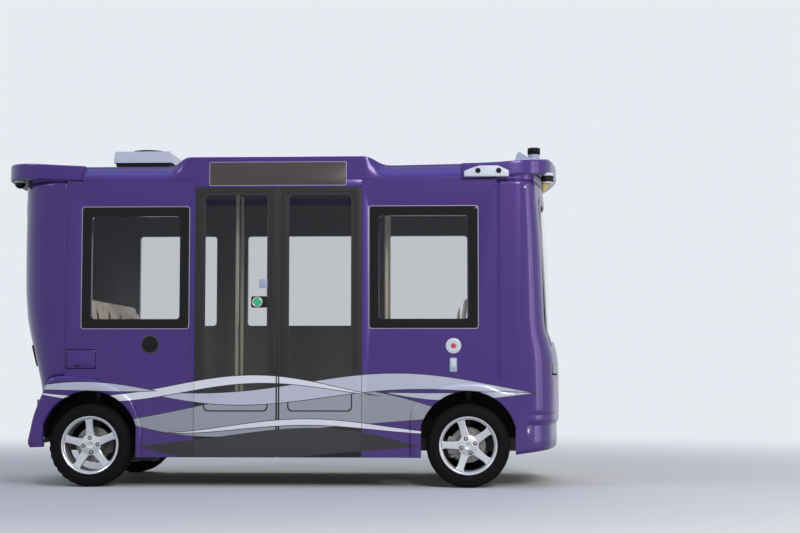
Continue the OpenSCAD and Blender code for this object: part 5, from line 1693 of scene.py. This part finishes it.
@dataclass
class Cabin:
    """Seats with padded covers, grab poles and the floor cover."""

    seat_w: float = 0.370
    pitch: float = 0.382
    base_z: float = 0.770
    seat_x: float = 0.880
    arch_r: float = 0.401
    ceiling: float = 2.2526
    pole_r: float = 0.014
    poles: tuple[Flat, ...] = ((-0.340, -0.430), (-0.427, 0.430), (0.777, -0.430), (0.755, 0.430))
    voxel: float = 0.006
    pressure: float = 4.0
    tension: float = 30.0
    frames: int = 20

    def build(self) -> None:
        """Builds the cabin."""
        self._shells()
        self._pads()
        self._poles()
        dress("floor_deck", [INK.floor, INK.chassis], bevel=0.0, rule=lambda c, n: n.z < 0.5)

    def _places(self) -> list[tuple[float, int]]:
        """Middle of each seat along Y and the way that its back lies."""
        return [((k - 1.5) * self.pitch, way) for way in (-1, 1) for k in range(4)]

    def _shells(self) -> None:
        """Makes the seat shells on their plinths."""
        bench = Shape()
        line = ((0.000, 0.004), (0.000, 0.030), (0.012, 0.040), (0.060, 0.046), (0.200, 0.040), (0.340, 0.036),
                (0.384, 0.044), (0.406, 0.072), (0.420, 0.150), (0.436, 0.300), (0.452, 0.440), (0.468, 0.540),
                (0.478, 0.570), (0.490, 0.578), (0.499, 0.566), (0.499, 0.540), (0.486, 0.440), (0.466, 0.300),
                (0.448, 0.150), (0.432, 0.060), (0.420, 0.004))
        for y, way in self._places():
            bench.plate([(way * (self.seat_x + a), self.base_z + b) for a, b in line], y - self.seat_w / 2 + 0.004,
                        y + self.seat_w / 2 - 0.004, bevel=0.006)
        low, high = FLOOR_Z + 0.001, self.base_z + 0.006
        for way, axle in ((-1, REAR_AXLE), (1, FRONT_AXLE)):
            front, back = way * (self.seat_x + 0.001), way * (self.seat_x + 0.439)
            start = math.asin((low - WHEEL_Z) / self.arch_r)
            span = math.acos(way * (axle - back) / self.arch_r) - start
            arch = [(axle - way * self.arch_r * math.cos(start + span * k / 20),
                     WHEEL_Z + self.arch_r * math.sin(start + span * k / 20)) for k in range(21)]
            bench.plate([(front, low), *arch, (back, high), (front, high)], -0.794, 0.794, bevel=0.006, finish=1)
        bench.piece("seat_shells", [INK.seat, INK.lining], smooth=40.0, stands_for=["seats"])

    def _pads(self) -> None:
        """Makes the padded seat and back covers, blown up once and copied to every seat."""
        seat = self._cushion("pad_seat_form", 0.316, 0.340, 0.030)
        back = self._cushion("pad_back_form", 0.456, 0.316, 0.026)
        for name, mesh, place in (("seat_cushions", seat, self._on_seat), ("back_cushions", back, self._on_back)):
            bench = Shape()
            for y, way in self._places():
                start = len(bench.bm.verts)
                bench.bm.from_mesh(mesh)
                bench.bm.verts.ensure_lookup_table()
                bmesh.ops.transform(bench.bm, matrix=place(y, way), verts=bench.bm.verts[start:])
            piece = bench.piece(name, INK.seat, smooth=60.0)

    def _on_seat(self, y: float, way: int) -> Matrix:
        """Where a seat cushion lies."""
        return (Matrix.Translation((way * (self.seat_x + 0.198), y, self.base_z + 0.054))
                @ Matrix.Rotation(math.radians(1.5 * way), 4, "Y"))

    def _on_back(self, y: float, way: int) -> Matrix:
        """Where a back cushion lies."""
        return (Matrix.Translation((way * (self.seat_x + 0.417), y, self.base_z + 0.320))
                @ Matrix.Rotation(math.radians(way * -83.5), 4, "Y"))

    def _cushion(self, name: str, length: float, width: float, thick: float) -> bpy.types.Mesh:
        """Blows up one cushion with a cloth simulation.

        Args:
            name: Name of its mesh.
            length: Its size along X.
            width: Its size along Y.
            thick: Its thickness along Z before it is blown up.

        Returns:
            The mesh of the cushion, crowned, with its middle at the origin.
        """
        bench = Shape().plate(round_rect(0, 0, length - 0.02, width - 0.02, 0.045, 6), -thick * 0.32, thick * 0.32, "z")
        mesh = bpy.data.meshes.new(name)
        bench.bm.to_mesh(mesh)
        bench.bm.free()
        obj, scene = show(name, mesh), bpy.context.scene
        fine = obj.modifiers.new("fine", "REMESH")
        fine.mode, fine.voxel_size = "VOXEL", self.voxel
        cloth = obj.modifiers.new("cloth", "CLOTH")
        cloth.settings.use_pressure = True
        cloth.settings.uniform_pressure_force = self.pressure
        cloth.settings.tension_stiffness = self.tension
        cloth.settings.effector_weights.gravity = 0.0
        for frame_no in range(1, self.frames + 1):
            scene.frame_set(frame_no)
        graph = bpy.context.evaluated_depsgraph_get()
        blown = bpy.data.meshes.new_from_object(obj.evaluated_get(graph))
        bpy.data.objects.remove(obj)
        scene.frame_set(1)
        tallest = max(abs(v.co.z) for v in blown.vertices)
        for v in blown.vertices:
            v.co.z *= min(1.0, thick / 2 / tallest) * (1.0 if v.co.z > 0 else 0.6)
            v.co.x = max(min(v.co.x, length / 2), -length / 2)
            v.co.y = max(min(v.co.y, width / 2), -width / 2)
        return blown

    def _poles(self) -> None:
        """Makes the grab poles with their sockets."""
        bench, r = Shape(), self.pole_r
        for x, y in self.poles:
            bench.drum((x, y, FLOOR_Z + 0.001), (x, y, self.ceiling - 0.0001), r, sides=32)
            bench.lathe([(r, 0.030), (0.021, 0.026), (0.023, 0.010), (0.035, 0.007), (0.039, 0.002), (0.039, 0.0006)],
                        (x, y, FLOOR_Z), UP, 32, finish=1)
            bench.lathe([(r, 0.020), (0.020, 0.018), (0.022, 0.008), (0.033, 0.005), (0.037, 0.0006)],
                        (x, y, self.ceiling), (0.0, 0.0, -1.0), 32, finish=1)
        bench.piece("pole_set", [INK.pole, INK.dark], smooth=40.0, stands_for=["grab_poles"])


@dataclass
class RunningGear:
    """Chassis, axles, steering and battery, dressed as they are in the CAD."""

    def build(self) -> None:
        """Dresses the underside."""
        dress("chassis_frame", INK.chassis, bevel=0.003)
        dress("battery_pack", INK.battery, bevel=0.006)
        for end in ("front", "rear"):
            dress(f"wheel_housings_{end}", INK.dark, bevel=0.001)
        for end in ("front", "rear"):
            dress(f"{end}_axle", INK.chassis, bevel=0.0015)
        dress("steering_rack", INK.steel, "rack", 0.001)
        for side in ("right", "left"):
            dress(f"knuckle_{side}", INK.iron, f"steering_{side}", 0.0015)


@dataclass
class Graphics:
    """Film bands over the door leaves, which carry on the painted ones beside them."""

    low: float = SILL_Z + 0.003
    high: float = 2.14
    ends: Flat = (-0.583, 0.619)
    steps: int = 96

    def build(self) -> None:
        """Lays the bands over both leaves."""
        for k, band in enumerate(RIBBONS):
            bench = Shape()
            for j, grow in enumerate((band.edge, 0.0)):
                self._strip(bench, band, grow, HALF_W + 0.0006 + 0.0003 * (2 * k + j) / 2, 1 - j)
            film = Finish(f"door_film_{k + 1}", "dark_frame", band.colour, Grain.FILM, 0.3, coat=0.4, vary=0.04)
            edge = Finish("door_film_edge", "dark_frame", EDGE_INK, Grain.FILM, 0.3, coat=0.4, vary=0.04)
            if bench.bm.faces:
                bench.piece(f"door_band_{k + 1}", [film, edge])
            else:
                bench.bm.free()

    def _strip(self, bench: Shape, band: Ribbon, grow: float, out: float, finish: int) -> None:
        """Lays one band as a thin plate, cut off at the edges of the doors.

        Args:
            bench: Where it is built.
            band: The band.
            grow: How far it stands over its edge.
            out: Distance of its face from the centreline.
            finish: Number of its finish.
        """
        reach = band.half * math.sqrt(1 + grow / band.thick)
        start, end = max(self.ends[0], band.x - reach), min(self.ends[1], band.x + reach)
        if end - start < 0.01:
            return
        xs = [start + (end - start) * i / self.steps for i in range(self.steps + 1)]
        spans = [tuple(min(max(z, self.low), self.high) for z in band.span(x, grow)) for x in xs]
        outline = [(x, a) for x, (a, _) in zip(xs, spans)]
        outline += [(x, b + 1e-5) for x, (_, b) in reversed(list(zip(xs, spans)))]
        bench.plate(outline, -HALF_W + 0.0002, -out, finish=finish)


def build_all() -> None:
    """Builds the sub-assemblies in order."""
    Studio().build()
    for wheel in (Wheel("front_right", FRONT_AXLE, Side.RIGHT, 16.5), Wheel("front_left", FRONT_AXLE, Side.LEFT, 0.0),
                  Wheel("rear_right", REAR_AXLE, Side.RIGHT, 4.0), Wheel("rear_left", REAR_AXLE, Side.LEFT, 30.0)):
        wheel.build()
    for assembly in (RunningGear(), BodyShell(), Fenders(), Roof(), Glazing(), Doors(), Display(), CoolingUnit(),
                     RoofSensor(), CameraPods(), CornerSensors(), Lamps(), Marks(), Cabin(), Graphics()):
        LOG.info("assembly %s", type(assembly).__name__)
        assembly.build()


def main() -> None:
    """Builds the bus."""
    logging.basicConfig(level=logging.INFO, format="%(name)s: %(message)s")
    build_all()


if __name__ == "__main__":
    main()
